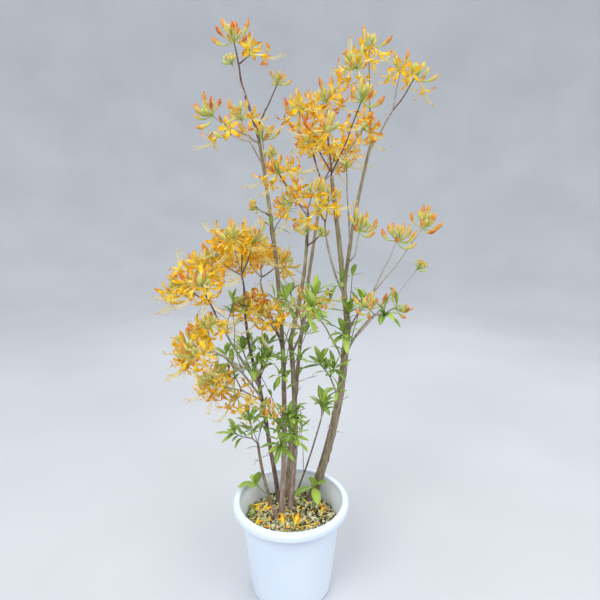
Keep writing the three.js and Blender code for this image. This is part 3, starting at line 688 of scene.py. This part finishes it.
def twig(curve, start, end, shade, draw, knob=False):
    """A twig with a slightly uneven line, swellings at its old leaf marks and a scaly end."""
    steps = max(6, round(curve.length / 3.5))
    shares = np.linspace(0, 1, steps + 1)
    width = lerp((start, end), shares)
    marks = 0.16 * np.maximum(0, np.sin(shares * curve.length / 3.1 + ANY_PHASE * draw())) ** 6
    width = width * (1 + marks)
    shades = np.full(steps, shade)
    if knob:
        back = (1 - shares) * curve.length
        width = np.maximum(width, lerp((end, TWIG["head"]), np.exp(-((back - 2.5) / 2.8) ** 2)))
        shades[back[1:] < 5] = 3
    path = curve.points(shares)
    wander = sum(np.sin(shares * curve.length / pace + ANY_PHASE * draw())[:, None] * side
                 for pace, side in zip((13, 17), sides(unit(curve.end - curve.start))))
    wander = np.sin(math.pi * shares)[:, None] * wander
    swell = 1 + relief(draw, TWIG_RIDGES, shares, circle(7), curve.length) * 0.5
    tube(twigs, path + 0.7 * wander, width[:, None] * swell, 7, shades)


# Flowers, buds and leaves

petals, throats, stamens, buds, leaves = (Batch() for _ in range(5))

PETAL_SHARES = np.array([0, 0.12, 0.26, 0.42, 0.58, 0.74, 0.89, 1.0])
PETAL_WIDTHS = np.array([0.36, 0.46, 0.62, 0.84, 1.0, 0.9, 0.58, 0.08])
PETAL_ACROSS = np.array([-1, -0.5, 0, 0.5, 1])
PETAL_TONES = np.array([[0, 0, 0, 1, 1, 1, 2], [0, 0, 1, 1, 1, 2, 2], [0, 1, 1, 1, 2, 2, 3],
                        [1, 1, 2, 2, 3, 3, 3]])


def sheet(middle, across, face, aside, lift):
    """The points of a petal or leaf: its middle line, moved aside and lifted by so much at each."""
    return middle[:, None] + across * aside[..., None] + face * lift[..., None]


def petal(throat, axis, out, length, width, tone, top, draw, opened=PETAL_OPENS):
    """A narrow petal that leaves the throat steeply, opens out and curls back at its tip."""
    mids = (PETAL_SHARES[1:] + PETAL_SHARES[:-1]) / 2
    opened = opened + PETAL_PLAY * draw()
    lean = PETAL_LEAN + opened * np.clip(mids / 0.6, 0, 1) ** 1.4 + PETAL_CURL * np.clip(mids - 0.7, 0, 1)
    lean = np.radians(lean)
    hops = np.diff(PETAL_SHARES) * length
    reach = np.concatenate([[0], np.cumsum(np.sin(lean) * hops)]) + THROAT_RADIUS
    rise = np.concatenate([[0], np.cumsum(np.cos(lean) * hops)])
    lean = np.concatenate([[lean[0]], (lean[1:] + lean[:-1]) / 2, [lean[-1]]])
    middle = throat + out * reach[:, None] + axis * rise[:, None]
    face = axis * np.sin(lean)[:, None] - out * np.cos(lean)[:, None]
    side = np.cross(axis, out)
    twist = near(draw, 0, 1.2) * PETAL_SHARES[:, None] ** 2
    across = side * np.cos(twist) + face * np.sin(twist)
    face = face * np.cos(twist) - side * np.sin(twist)
    half = (width / 2) * PETAL_WIDTHS
    cup = half * near(draw, 0.12, 0.4)
    ruffle = 0.1 * width * np.sin(9 * PETAL_SHARES + ANY_PHASE * draw())[:, None] * PETAL_ACROSS ** 3
    lift = cup[:, None] * PETAL_ACROSS ** 2 + ruffle
    rows = sheet(middle, across[:, None], face[:, None], half[:, None] * PETAL_ACROSS, lift)
    shades = np.repeat(PETAL_TONES[tone][:, None], 4, axis=1).copy()
    shades[4:, (0, 3)] = np.minimum(shades[4:, (0, 3)] + 1, 4)
    if top:
        shades[1:4, 1:3] = 0
    petals.grid(rows, shades)


def whisker(start, axis, upward, side, length, tip_shade, draw):
    """A long stamen or style that leaves the throat along the axis and curves up at its end."""
    shares = np.linspace(0, 1, 9)
    bend = near(draw, 0.75, 0.2)
    pull = upward * (bend * (shares ** 2 - 0.25 * shares))[:, None] + side * shares[:, None]
    path = start + length * (axis * (shares - 0.16 * shares ** 2)[:, None] + 0.62 * pull)
    tube(stamens, path, np.linspace(0.4, 0.25, 9), 4, [1, 1] + [0] * 6)
    tip = way(path[-1], unit(path[-1] - path[-2]), 1, [-0.6, 0.5, 1.6, 2.2])
    tube(stamens, tip, [0.3, 0.85, 0.8, 0.2], 5, tip_shade)


def tube_of(root, axis, length, tone, draw):
    """The stalk and the slender tube of a flower, bowed so that it leaves more upright."""
    flat = UP - axis * np.dot(axis, UP)
    curve = Bow(root, root + axis * length, flat * near(draw, 2.4, 1.2))
    shares = np.array([0, 0.14, 0.26, 0.31, 0.36, 0.55, 0.75, 0.9, 1.0])
    width = [0.7, 0.62, 0.7, 1.3, 1.25, 1.15, 1.45, 2.0, 3.0]
    tube(throats, curve.points(shares), width, 7, [0, 0, 0, 0, 1 + tone, 1 + tone, 1 + min(tone, 1), 1])
    return curve.end, curve.heading(1)


def flower(root, axis, spin, long, tone, draw, whiskers=STAMEN_LENGTH, opened=PETAL_OPENS):
    """An open flower: stalk, tube, five petals with the odd one on top, and its stamens."""
    throat, facing = tube_of(root, axis, varied(TUBE, long) - 5, tone % 3, draw)
    upward = UP - facing * np.dot(UP, facing)
    if np.linalg.norm(upward) < 0.25:
        upward = sides(facing)[0]
    upward = unit(upward)
    side = np.cross(facing, upward)
    reach = varied(PETAL_LENGTH, long)
    for i in range(5):
        turn = math.radians(72 * i + (spin - 180) / 12 + near(draw, 0, 5))
        out = upward * math.cos(turn) + side * math.sin(turn)
        size = 1.0 if i else 1.08
        width = near(draw, 6.5, 1.5) * size
        petal(throat - facing * 1.2, facing, out, reach * 1.14 * size, width, tone, i == 0, draw, opened)
    for i in range(6):
        turn = 2 * math.pi * i / 5 + draw()
        lean = side * 0.09 * math.cos(turn) + upward * 0.07 * math.sin(turn)
        length = near(draw, whiskers, 4) if i else whiskers + 7
        sway = side * near(draw, 0, 0.07)
        aim = unit(facing + lean - 0.12 * upward)
        whisker(throat + lean * 9, aim, upward, sway, length, 2 if i else 3, draw)


BUD_SHARES = np.array([0, 0.1, 0.23, 0.35, 0.47, 0.59, 0.71, 0.82, 0.92, 1.0])
BUD_WIDTHS = np.array([0.2, 0.18, 0.24, 0.32, 0.45, 0.72, 0.98, 0.9, 0.52, 0.05])
BUD_TONES = np.array([[0, 0, 1, 1, 2, 3, 3, 4, 4], [0, 0, 0, 1, 1, 2, 3, 3, 4], [0, 0, 0, 1, 1, 2, 2, 3, 3],
                      [0, 0, 0, 0, 1, 1, 2, 2, 3], [0, 0, 0, 0, 0, 1, 1, 1, 1]])


def bud(root, axis, length, radius, tone, draw):
    """A closed bud: a slim tube that swells to a pointed, twisted head and hooks upward."""
    flat = UP - axis * np.dot(axis, UP)
    hook = near(draw, 0.25, 0.12) * length * (flat + near(draw, 0, 0.5) * np.cross(axis, UP))
    curve = Bow(root, root + axis * length + 0.5 * hook, -hook)
    turn = circle(10)
    twist = 5 * (turn + 1.6 * BUD_SHARES[:, None])
    folds = 1 + 0.13 * np.cos(twist) * np.clip(BUD_SHARES[:, None] - 0.35, 0, 0.4) / 0.4
    flank = (np.cos(turn - ANY_PHASE * draw()) > 0.4) & (BUD_SHARES[1:, None] > 0.3)
    shades = np.minimum(BUD_TONES[tone][:, None] + flank, BUD_TONES[tone].max())
    tube(buds, curve.points(BUD_SHARES), radius * BUD_WIDTHS[:, None] * folds, 10, shades)


LEAF_SHARES = np.array([0, 0.09, 0.22, 0.38, 0.54, 0.7, 0.84, 0.94, 1.0])
LEAF_WIDTHS = np.array([0.1, 0.14, 0.5, 0.84, 1.0, 0.94, 0.68, 0.34, 0.05])
LEAF_ACROSS = np.array([-1, -0.55, -0.07, 0.07, 0.55, 1])


def leaf(root, axis, length, width, shade, draw):
    """A leaf folded a little along its midrib and arched, on a short stalk."""
    across = unit(np.cross(UP, axis))
    face = np.cross(axis, across)
    arch = near(draw, 0.07, 0.09) * length
    rise = arch * np.sin(math.pi * LEAF_SHARES ** 0.9) - 0.05 * length * LEAF_SHARES
    middle = root + axis * (LEAF_SHARES * length)[:, None] + face * rise[:, None]
    half = width / 2 * LEAF_WIDTHS
    fold = near(draw, 0.3, 0.14)
    wave = 0.05 * np.sin(12 * LEAF_SHARES + ANY_PHASE * draw())[:, None] * np.abs(LEAF_ACROSS)
    lift = half[:, None] * (fold * np.abs(LEAF_ACROSS) + wave)
    rows = sheet(middle, across, face, half[:, None] * LEAF_ACROSS, lift)
    shades = np.full((len(LEAF_SHARES) - 1, 5), shade)
    shades[:, 2] = 3
    leaves.grid(rows, shades)


# How orange the flowers of some masses are, from 0 to 2, and how green their buds
PETAL_TINTS = dict(crown_candelabra=2, crown_back=2, crown_top_left=2, bloom_left_outer=0, bloom_left_low=0,
                   bloom_left_drooping=0, crown_top_right=0, crown_right=0)
BUD_TINTS = dict(crown_top_left=0, spray_far_left=1, crown_candelabra=1, spray_centre_low=1,
                 bloom_front=1)
# The share of every second flower and bud that is left out, but for one mass that the photo shows full
THINNED = 0.25
FULL = "bloom_left_drooping"
# The share of flowers that are orange in any mass, and of the small inner buds that are green
ORANGE = 0.14
GREEN = 0.4


def fits(owner, root, axis, length, margins):
    """True where a flower, bud or leaf keeps to its own mass's space and clear of the limbs."""
    track = way(root, axis, length, TRACK)
    gaps = np.linalg.norm(head_centres - track[2], axis=1)
    is_own = head_owner == owner
    return gaps[is_own].min() < gaps[~is_own].min() + SPACE_MARGIN and clears_limbs(track, margins)


def small_leaf(start, axis, length, shares, margins, tones, draw, sunk=0):
    """A narrow leaf, left out where it would touch a limb."""
    if clears_limbs(way(start, axis, length, shares), margins):
        leaf(start - sunk * axis, axis, length, length * NARROW, int(tones * draw()), draw)


def dress(owner, name, centre, aim, kind, seed):
    """The flowers, buds and leaves of a head, placed by the rule that places the solids.

    draw repeats the stream of the solids, and fine is for what only the scene holds.
    """
    draw = stream(name, 977 * seed)
    fine = stream(name, 31 * seed + 5)
    kind = {**NO_HEAD, **HEADS[kind]}
    size = kind["size"]
    basal = name.startswith("basal")
    phase = 360 * draw()
    count = kind["flowers"] + kind["buds"]
    ends = [math.cos(math.radians(kind[side])) for side in ("start", "stop")]
    head_tone = PETAL_TINTS.get(name, 1)
    bud_tone = BUD_TINTS.get(name, 2)

    def rooted(turn, tilt, drooping=False):
        """The root and the axis of a part of the head."""
        axis = around(aim, phase + turn, tilt)
        if drooping:
            axis = unit(axis - DROOP * UP)
        return centre - ROOT_BEHIND * axis, axis

    for i in range(count):
        tilt = near(draw, math.degrees(math.acos(lerp(ends, (i + 0.5) / count))), 5)
        is_open = i >= kind["buds"]
        root, axis = rooted(GOLDEN_ANGLE * i, tilt, is_open)
        spin = 360 * draw()
        long = 2 * draw() - 1
        tone = 3 if fine() < ORANGE else min(3, max(0, head_tone + int(3 * fine()) - 1))
        if i % 2 and name != FULL and fine() < THINNED:
            continue
        if is_open:
            if fits(owner, root, axis, varied(TUBE, long), FLOWER_MARGINS):
                flower(root, axis, spin, long, tone, fine)
            continue
        length = size * varied(BUD_LENGTH, long)
        if fits(owner, root, axis, length, BUD_MARGINS):
            tone = max(0, bud_tone + int(3 * fine()) - 1 + (tilt < 45))
            tone = 4 if size < 0.5 else min(3, tone)
            length *= near(fine, 0.9, 0.16)
            bud(root, axis, length, near(fine, 0.92, 0.14) * BUD_RADIUS * math.sqrt(size), tone, fine)
    for i in range(kind["leaves"]):
        tilt = near(draw, lerp((kind["start"], kind["stop"]), (i + 0.5) / kind["leaves"]), 6)
        root, axis = rooted(GOLDEN_ANGLE * i, tilt)
        length = near(draw, *LEAF_LENGTH)
        if (i % 2 or not basal) and fits(owner, root, axis, length, LEAF_MARGINS):
            broad = 1.6 if basal else 0.9
            leaf(root, axis, length, LEAF_WIDTH * near(fine, broad, 0.12), int(3 * fine()), fine)
    for i in range(kind["more"] if name.startswith("bloom") else 0):
        root, axis = rooted(360 * (i + 0.4) / kind["more"], near(fine, 98, 20), True)
        if fits(owner, root, axis, TUBE[0], FLOWER_MARGINS):
            spin, long = 360 * fine(), near(fine, -0.4, 0.6)
            flower(root, axis, spin, long, min(3, head_tone + int(2 * fine())), fine)
    for i in range(kind["inner"]):
        axis = around(aim, phase + 80 * i, near(fine, 30, 26))
        length = near(fine, 27, 7) * math.sqrt(size)
        bud(centre - axis, axis, length, near(fine, 3, 0.5), 4 if fine() < GREEN else 3, fine)
    for i in range(0 if basal else kind["leaves"] // 2):
        axis = around(aim, phase + 50 + 95 * i, near(fine, 30, 22))
        small_leaf(centre, axis, near(fine, 24, 7), (0.6, 1), (2, 1), 2, fine, sunk=1)


# The masses whose twigs are bleached, where the others' take any of the first three colours
BLEACHED = ("spray_right_outer", "sprig_right_bare", "sprig_top_left", "spray_high_left", "spray_right_mid")

for owner, mass in enumerate(masses):
    name = mass["name"]
    draw = stream(name, 11)
    shade = int(3 * draw())
    if name in BLEACHED:
        shade = 4
    twig(mass["stalk"], TWIG["root"], TWIG["fork"], shade, draw)
    for shoot in mass["shoots"]:
        other = int(3 * draw())
        shoot_shade = other if shade < 3 and draw() < 0.5 else shade
        twig(shoot, TWIG["fork"], TWIG["end"], shoot_shade, draw, knob=True)
    for head in mass["heads"]:
        dress(owner, name, **head)
    if name.startswith("leaves"):
        for shoot in mass["shoots"]:
            for _ in range(4):
                at = near(draw, 0.5, 0.28)
                axis = around(shoot.heading(at), 360 * draw(), near(draw, 58, 14))
                length = near(draw, 27, 8)
                small_leaf(shoot.points(at), axis, length, (0.5, 1), (2, 1), 3, draw)


def side_twigs(table, rise):
    """Each twig of a table, as its length, its line from the limb and a stream of numbers."""
    for limb, *rows in table:
        for at, bearing, tilt, length in rows:
            draw = stream(limb, int(1000 * at) + length)
            start = point_on(limb, at)
            bow = (near(draw, 0, 2), near(draw, 0, 2), near(draw, rise, 1))
            yield length, Bow(start, start + direction(bearing, tilt) * length, bow), draw


for length, line, draw in side_twigs(DRY_TWIGS, 1.5):
    twig(line, 1.1, 0.5, 4, draw)
    for _ in range(2 if length > 30 else 1):
        fork = line.points(near(draw, 0.72, 0.18))
        spur = around(line.heading(1), 360 * draw(), near(draw, 46, 12)) * near(draw, 10, 4)
        twig(Bow(fork, fork + spur, (0, 0, 0.6)), 0.6, 0.4, 4, draw)

for _, line, draw in side_twigs(LEAF_TUFTS, 2):
    twig(line, 0.9, 0.6, 1, draw)
    phase = 360 * draw()
    for i in range(7):
        at = 1 if i < 5 else near(draw, 0.55, 0.2)
        axis = around(line.heading(1), phase + GOLDEN_ANGLE * i, near(draw, 30 + 9 * i, 9))
        small_leaf(line.points(at), axis, near(draw, 30, 6), TRACK, LEAF_MARGINS, 3, draw)

twigs.piece("twigs", TWIGS, "bark", [mass["name"] for mass in masses])
petals.piece("petals", PETAL, "bloom")
throats.piece("flower_tubes", THROAT, "bloom")
stamens.piece("stamens", STAMEN, "bloom")
buds.piece("buds", BUDS, "bud")
leaves.piece("leaves", LEAVES, "leaf")


# Pot


def arc(centre, radius, start, stop, steps):
    angles = np.radians(np.linspace(start, stop, steps))
    return [(centre[0] + radius * math.cos(a), centre[1] + radius * math.sin(a)) for a in angles]


def pot_radius(z):
    """The pot's outer radius at a height below its rim."""
    share = (z - POT["chamfer"]) / (POT["height"] - POT["rim_depth"] - POT["chamfer"])
    return lerp((POT["base_radius"], POT["shoulder_radius"]), share)


def turned(profile, count):
    """The points of a turned surface, from its profile of radius and height."""
    turn = circle(count)
    radius, z = np.array(profile, float).T[..., None]
    return np.stack([radius * np.cos(turn), radius * np.sin(turn), z + 0 * turn], axis=-1)


height, rim, wall, base = POT["height"], POT["rim_radius"], POT["wall"], POT["base_radius"]
under = height - POT["rim_depth"]
lip = rim - POT["rim_band"]
outer_wall = [(pot_radius(z), z) for z in np.linspace(POT["chamfer"], under, 14)]
inner_wall = [(pot_radius(z) - wall, z) for z in np.linspace(under - 5, POT["floor"] + 3, 14)]
# The pot's outline from the middle of its underside, up the wall, over the rim and down its inside
profile = [
    (0.5, 0),
    (base - 12, 0),
    *arc((base - 4, 4), 4, -90, -5, 6),
    *outer_wall,
    (pot_radius(under) + 1.4, under + 3.6),
    (pot_radius(under) + 3, under + 4.6),
    (rim - 5.5, under + 4.9),
    (rim - 3.6, under + 4),
    (rim - 3, under + 1.4),
    *arc((rim - 2, under + 1.6), 1.4, 190, 300, 5),
    (rim - 0.3, under + 1.8),
    (rim, under + 4),
    *arc((rim - 6, height - 6.4), 6, 0, 80, 9),
    *arc((lip + 4, height - 4), 4, 95, 175, 7),
    (lip - 0.6, height - 8),
    (lip - 2.4, height - 14),
    *inner_wall,
    (base - wall - 3, POT["floor"]),
    (0.5, POT["floor"]),
]
batch = Batch()
# From just below the lip, the inner wall and floor take a lighter copy of the plastic. This is painted
# light: it brightens the inside, which the lamps and the floor's bounce leave darker than the outside.
inside_painted_light = np.arange(len(profile) - 1) > len(profile) - len(inner_wall) - 5
batch.grid(turned(profile, 160), inside_painted_light.astype(int), wrap=True)
plastic = [pot_finish("pot_plastic", (225, 237, 252), (235, 244, 255)),
           pot_finish("pot_inside_painted_light", (240, 249, 255), (246, 252, 255))]
batch.piece("pot_shell", plastic, "pot", ["pot"])


# Soil, crumbs, litter and fallen flowers

scatter = np.random.default_rng(26)
SOIL_EDGE = pot_radius(SOIL["level"]) - wall - 0.4
bumps = [(scatter.uniform(0.05, 0.3, 2) * scatter.choice([-1, 1], 2), scatter.uniform(0, ANY_PHASE))
         for _ in range(14)]


def soil_height(x, y):
    """The soil's surface: level, dropping at the wall, uneven and heaped a little round the stems."""
    away = np.hypot(x, y)
    z = SOIL["level"] - SOIL["edge_drop"] * np.clip((away - SOIL["flat_radius"]) / SOIL["slope"], 0, 1) ** 2
    for pace, phase in bumps:
        z = z + 0.32 * np.sin(pace[0] * x + pace[1] * y + phase)
    middle_x, middle_y, height, radius = HEAP
    return z + height * np.exp(-((x - middle_x) ** 2 + (y - middle_y) ** 2) / radius ** 2)


def above_soil(x, y, lift=0):
    return np.array([x, y, soil_height(x, y) + lift])


low = POT["floor"] + 1
foot = [(0.6, low), (pot_radius(low) - wall - 1.5, low)]
rows = turned([*foot, *[(away, 0) for away in np.linspace(SOIL_EDGE, 0.6, 56)]], 150)
rows[2:, :, 2] = soil_height(rows[2:, :, 0], rows[2:, :, 1])
batch = Batch()
batch.grid(rows, 0, wrap=True)
batch.piece("soil_bed", [soil_finish()], "soil", ["soil"])

# The corners and faces of a regular solid with 20 sides, about 1 in radius
GOLD = (1 + 5 ** 0.5) / 2
ICO = np.array([(-1, GOLD, 0), (1, GOLD, 0), (-1, -GOLD, 0), (1, -GOLD, 0)]) / 1.902
ICO = np.concatenate([np.roll(ICO, shift, axis=1) for shift in range(3)])
ICO_FACES = np.array([(0, 11, 5), (0, 5, 1), (0, 1, 7), (0, 7, 10), (0, 10, 11), (1, 5, 9), (5, 11, 4),
                      (11, 10, 2), (10, 7, 6), (7, 1, 8), (3, 9, 4), (3, 4, 2), (3, 2, 6), (3, 6, 8),
                      (3, 8, 9), (4, 9, 5), (2, 4, 11), (6, 2, 10), (8, 6, 7), (9, 8, 1)])


def on_soil(count, edge):
    """Random places on the soil."""
    away = edge * np.sqrt(scatter.uniform(0, 1, count))
    bearing = scatter.uniform(0, 2 * math.pi, count)
    return away * np.cos(bearing), away * np.sin(bearing)


def spun(count):
    """Random turns about all axes."""
    return np.linalg.qr(scatter.normal(size=(count, 3, 3)))[0]


CRUMB_COUNT = 3000
x, y = on_soil(CRUMB_COUNT, SOIL_EDGE - 2)
sizes = np.exp(scatter.normal(math.log(1.8), 0.5, CRUMB_COUNT)).clip(0.7, 4.6)
stretch = scatter.uniform(0.55, 1.25, (CRUMB_COUNT, 1, 3))
lumps = ICO * scatter.uniform(0.78, 1.18, (CRUMB_COUNT, 12, 1)) * stretch * sizes[:, None, None]
lumps = np.einsum("nij,nkj->nki", spun(CRUMB_COUNT), lumps)
lumps += np.stack([x, y, soil_height(x, y) + 0.35 * sizes], axis=-1)[:, None]
batch = Batch()
batch.lumps(lumps, ICO_FACES, scatter.choice(6, CRUMB_COUNT, p=[0.2, 0.22, 0.2, 0.13, 0.12, 0.13]))
batch.piece("soil_crumbs", CRUMBS, "soil")

litter = Batch()
for px, py in zip(*on_soil(460, SOIL_EDGE - 9)):
    length, width = scatter.uniform(6, 21), scatter.uniform(1.2, 4.4)
    heading = scatter.uniform(0, 2 * math.pi)
    along = np.array([math.cos(heading), math.sin(heading), scatter.uniform(-0.05, 0.3)])
    side = unit(np.cross(UP, along))
    shares = np.linspace(-0.5, 0.5, 6)
    curl = scatter.uniform(0.0, 0.22) * length
    middle = above_soil(px, py, 1.6) + along * (shares * length)[:, None]
    middle = middle + UP * (curl * (0.25 - shares ** 2) * 1.5)[:, None]
    middle = middle + side * (curl * shares ** 2)[:, None]
    half = width / 2 * np.sqrt(1.02 - (2 * shares) ** 2)
    across = side + UP * scatter.uniform(-0.6, 0.6)
    rows = middle[:, None] + across * (half[:, None] * np.array([-1, 0, 1]))[..., None]
    litter.grid(rows, scatter.choice([1, 2, 3, 4, 5], p=[0.12, 0.18, 0.3, 0.12, 0.28]))
litter.piece("soil_litter", CRUMBS, "soil")

# Fallen flowers, as the place of each one's middle and the bearing of its mouth, and the places of weeds
FALLEN_FLOWERS = [(-60, 40, 205), (-14, -32, 95), (8, -36, 80), (-66, -8, 250), (30, -36, 20), (64, 2, 75),
                  (62, 40, 300), (-30, -62, 150), (-64, 12, 60)]
WEEDS = [(-84, 28), (-70, -36), (-80, 6), (30, 46), (12, -30), (-20, -60), (52, -60)]

petals, throats, stamens, leaves = (Batch() for _ in range(4))
fallen = seeded(77)
for px, py, mouth in FALLEN_FLOWERS:
    axis = direction(near(fallen, mouth, 6), near(fallen, 91, 4))
    start = above_soil(px, py, 5) - axis * 16
    spin, long = 360 * fallen(), near(fallen, -0.6, 0.4)
    flower(start, axis, spin, long, 3 if fallen() < 0.5 else 2, fallen, whiskers=22, opened=-22)
for px, py in zip(*on_soil(60, SOIL_EDGE - 14)):
    out = direction(360 * fallen(), near(fallen, 90, 8))
    length, width = near(fallen, 12, 3), near(fallen, 4, 1)
    petal(above_soil(px, py, 1.5), UP, unit(out), length, width, int(4 * fallen()), False, fallen)
for px, py in WEEDS:
    phase = 360 * fallen()
    for i in range(7):
        axis = direction(phase + GOLDEN_ANGLE * i, near(fallen, 55, 22))
        length = near(fallen, 12, 4)
        leaf(above_soil(px, py), axis, length, length * 0.4, int(3 * fallen()), fallen)
petals.piece("fallen_petals", PETAL, "bloom")
throats.piece("fallen_tubes", THROAT, "bloom")
stamens.piece("fallen_stamens", STAMEN, "bloom")
leaves.piece("weeds", LEAVES, "leaf")


# Stage, light and camera

STAGE = dict(flat=3.0, bend=3.0, top=4.6)


def stage():
    """A pale floor that sweeps up all round into a wall, so that no edge shows from any side."""
    finish = Finish("pale_floor", (202, 203, 205), 0.9)
    cloud = finish.noise(1.5, 2.0)
    finish.colour(finish.ramp(cloud, [(0.3, 198, 199, 201), (0.7, 206, 207, 209)]))
    sweep = [(STAGE["flat"] + r, z) for r, z in arc((0, STAGE["bend"]), STAGE["bend"], -90, 0, 40)]
    rings = [(0.001, 0), *[(STAGE["flat"] * i / 8, 0) for i in range(1, 8)], *sweep]
    rings += [(sweep[-1][0], STAGE["top"])]
    batch = Batch()
    batch.grid(turned([(1000 * r, 1000 * z) for r, z in rings[::-1]], 160), 0, wrap=True)
    batch.object("floor", [finish.material])


def lamp(name, place, aim, size, power):
    data = bpy.data.lights.new(name, "AREA")
    data.shape = "DISK"
    data.size = size
    data.energy = power
    thing = placed(name, data)
    thing.location = place
    away = unit(np.array(place, float) - np.array(aim, float))
    thing.rotation_euler = (math.acos(away[2]), 0, math.atan2(away[1], away[0]) + math.pi / 2)


stage()
lamp("key", (-1.3, -1.9, 2.6), (0, 0, 0.5), 1.8, 45)
lamp("fill", (1.7, -1.3, 2.2), (0, 0, 0.5), 1.8, 22)
lamp("back", (0.6, 2.2, 2.4), (0, 0, 0.7), 1.6, 18)

world = bpy.context.scene.world or bpy.data.worlds.new("World")
bpy.context.scene.world = world
world.use_nodes = True
sky = world.node_tree.nodes["Background"]
sky.inputs["Color"].default_value = linear((226, 232, 240))
sky.inputs["Strength"].default_value = 1.3

bpy.context.scene.view_settings.view_transform = "Standard"

camera_data = bpy.data.cameras.new("camera")
camera_data.lens = CAMERA_LENS
camera_data.sensor_width = CAMERA_SENSOR
camera = placed("camera", camera_data)
camera.location = CAMERA_PLACE
camera.rotation_euler = (math.radians(90 - CAMERA_PITCH), 0, 0)
bpy.context.scene.camera = camera
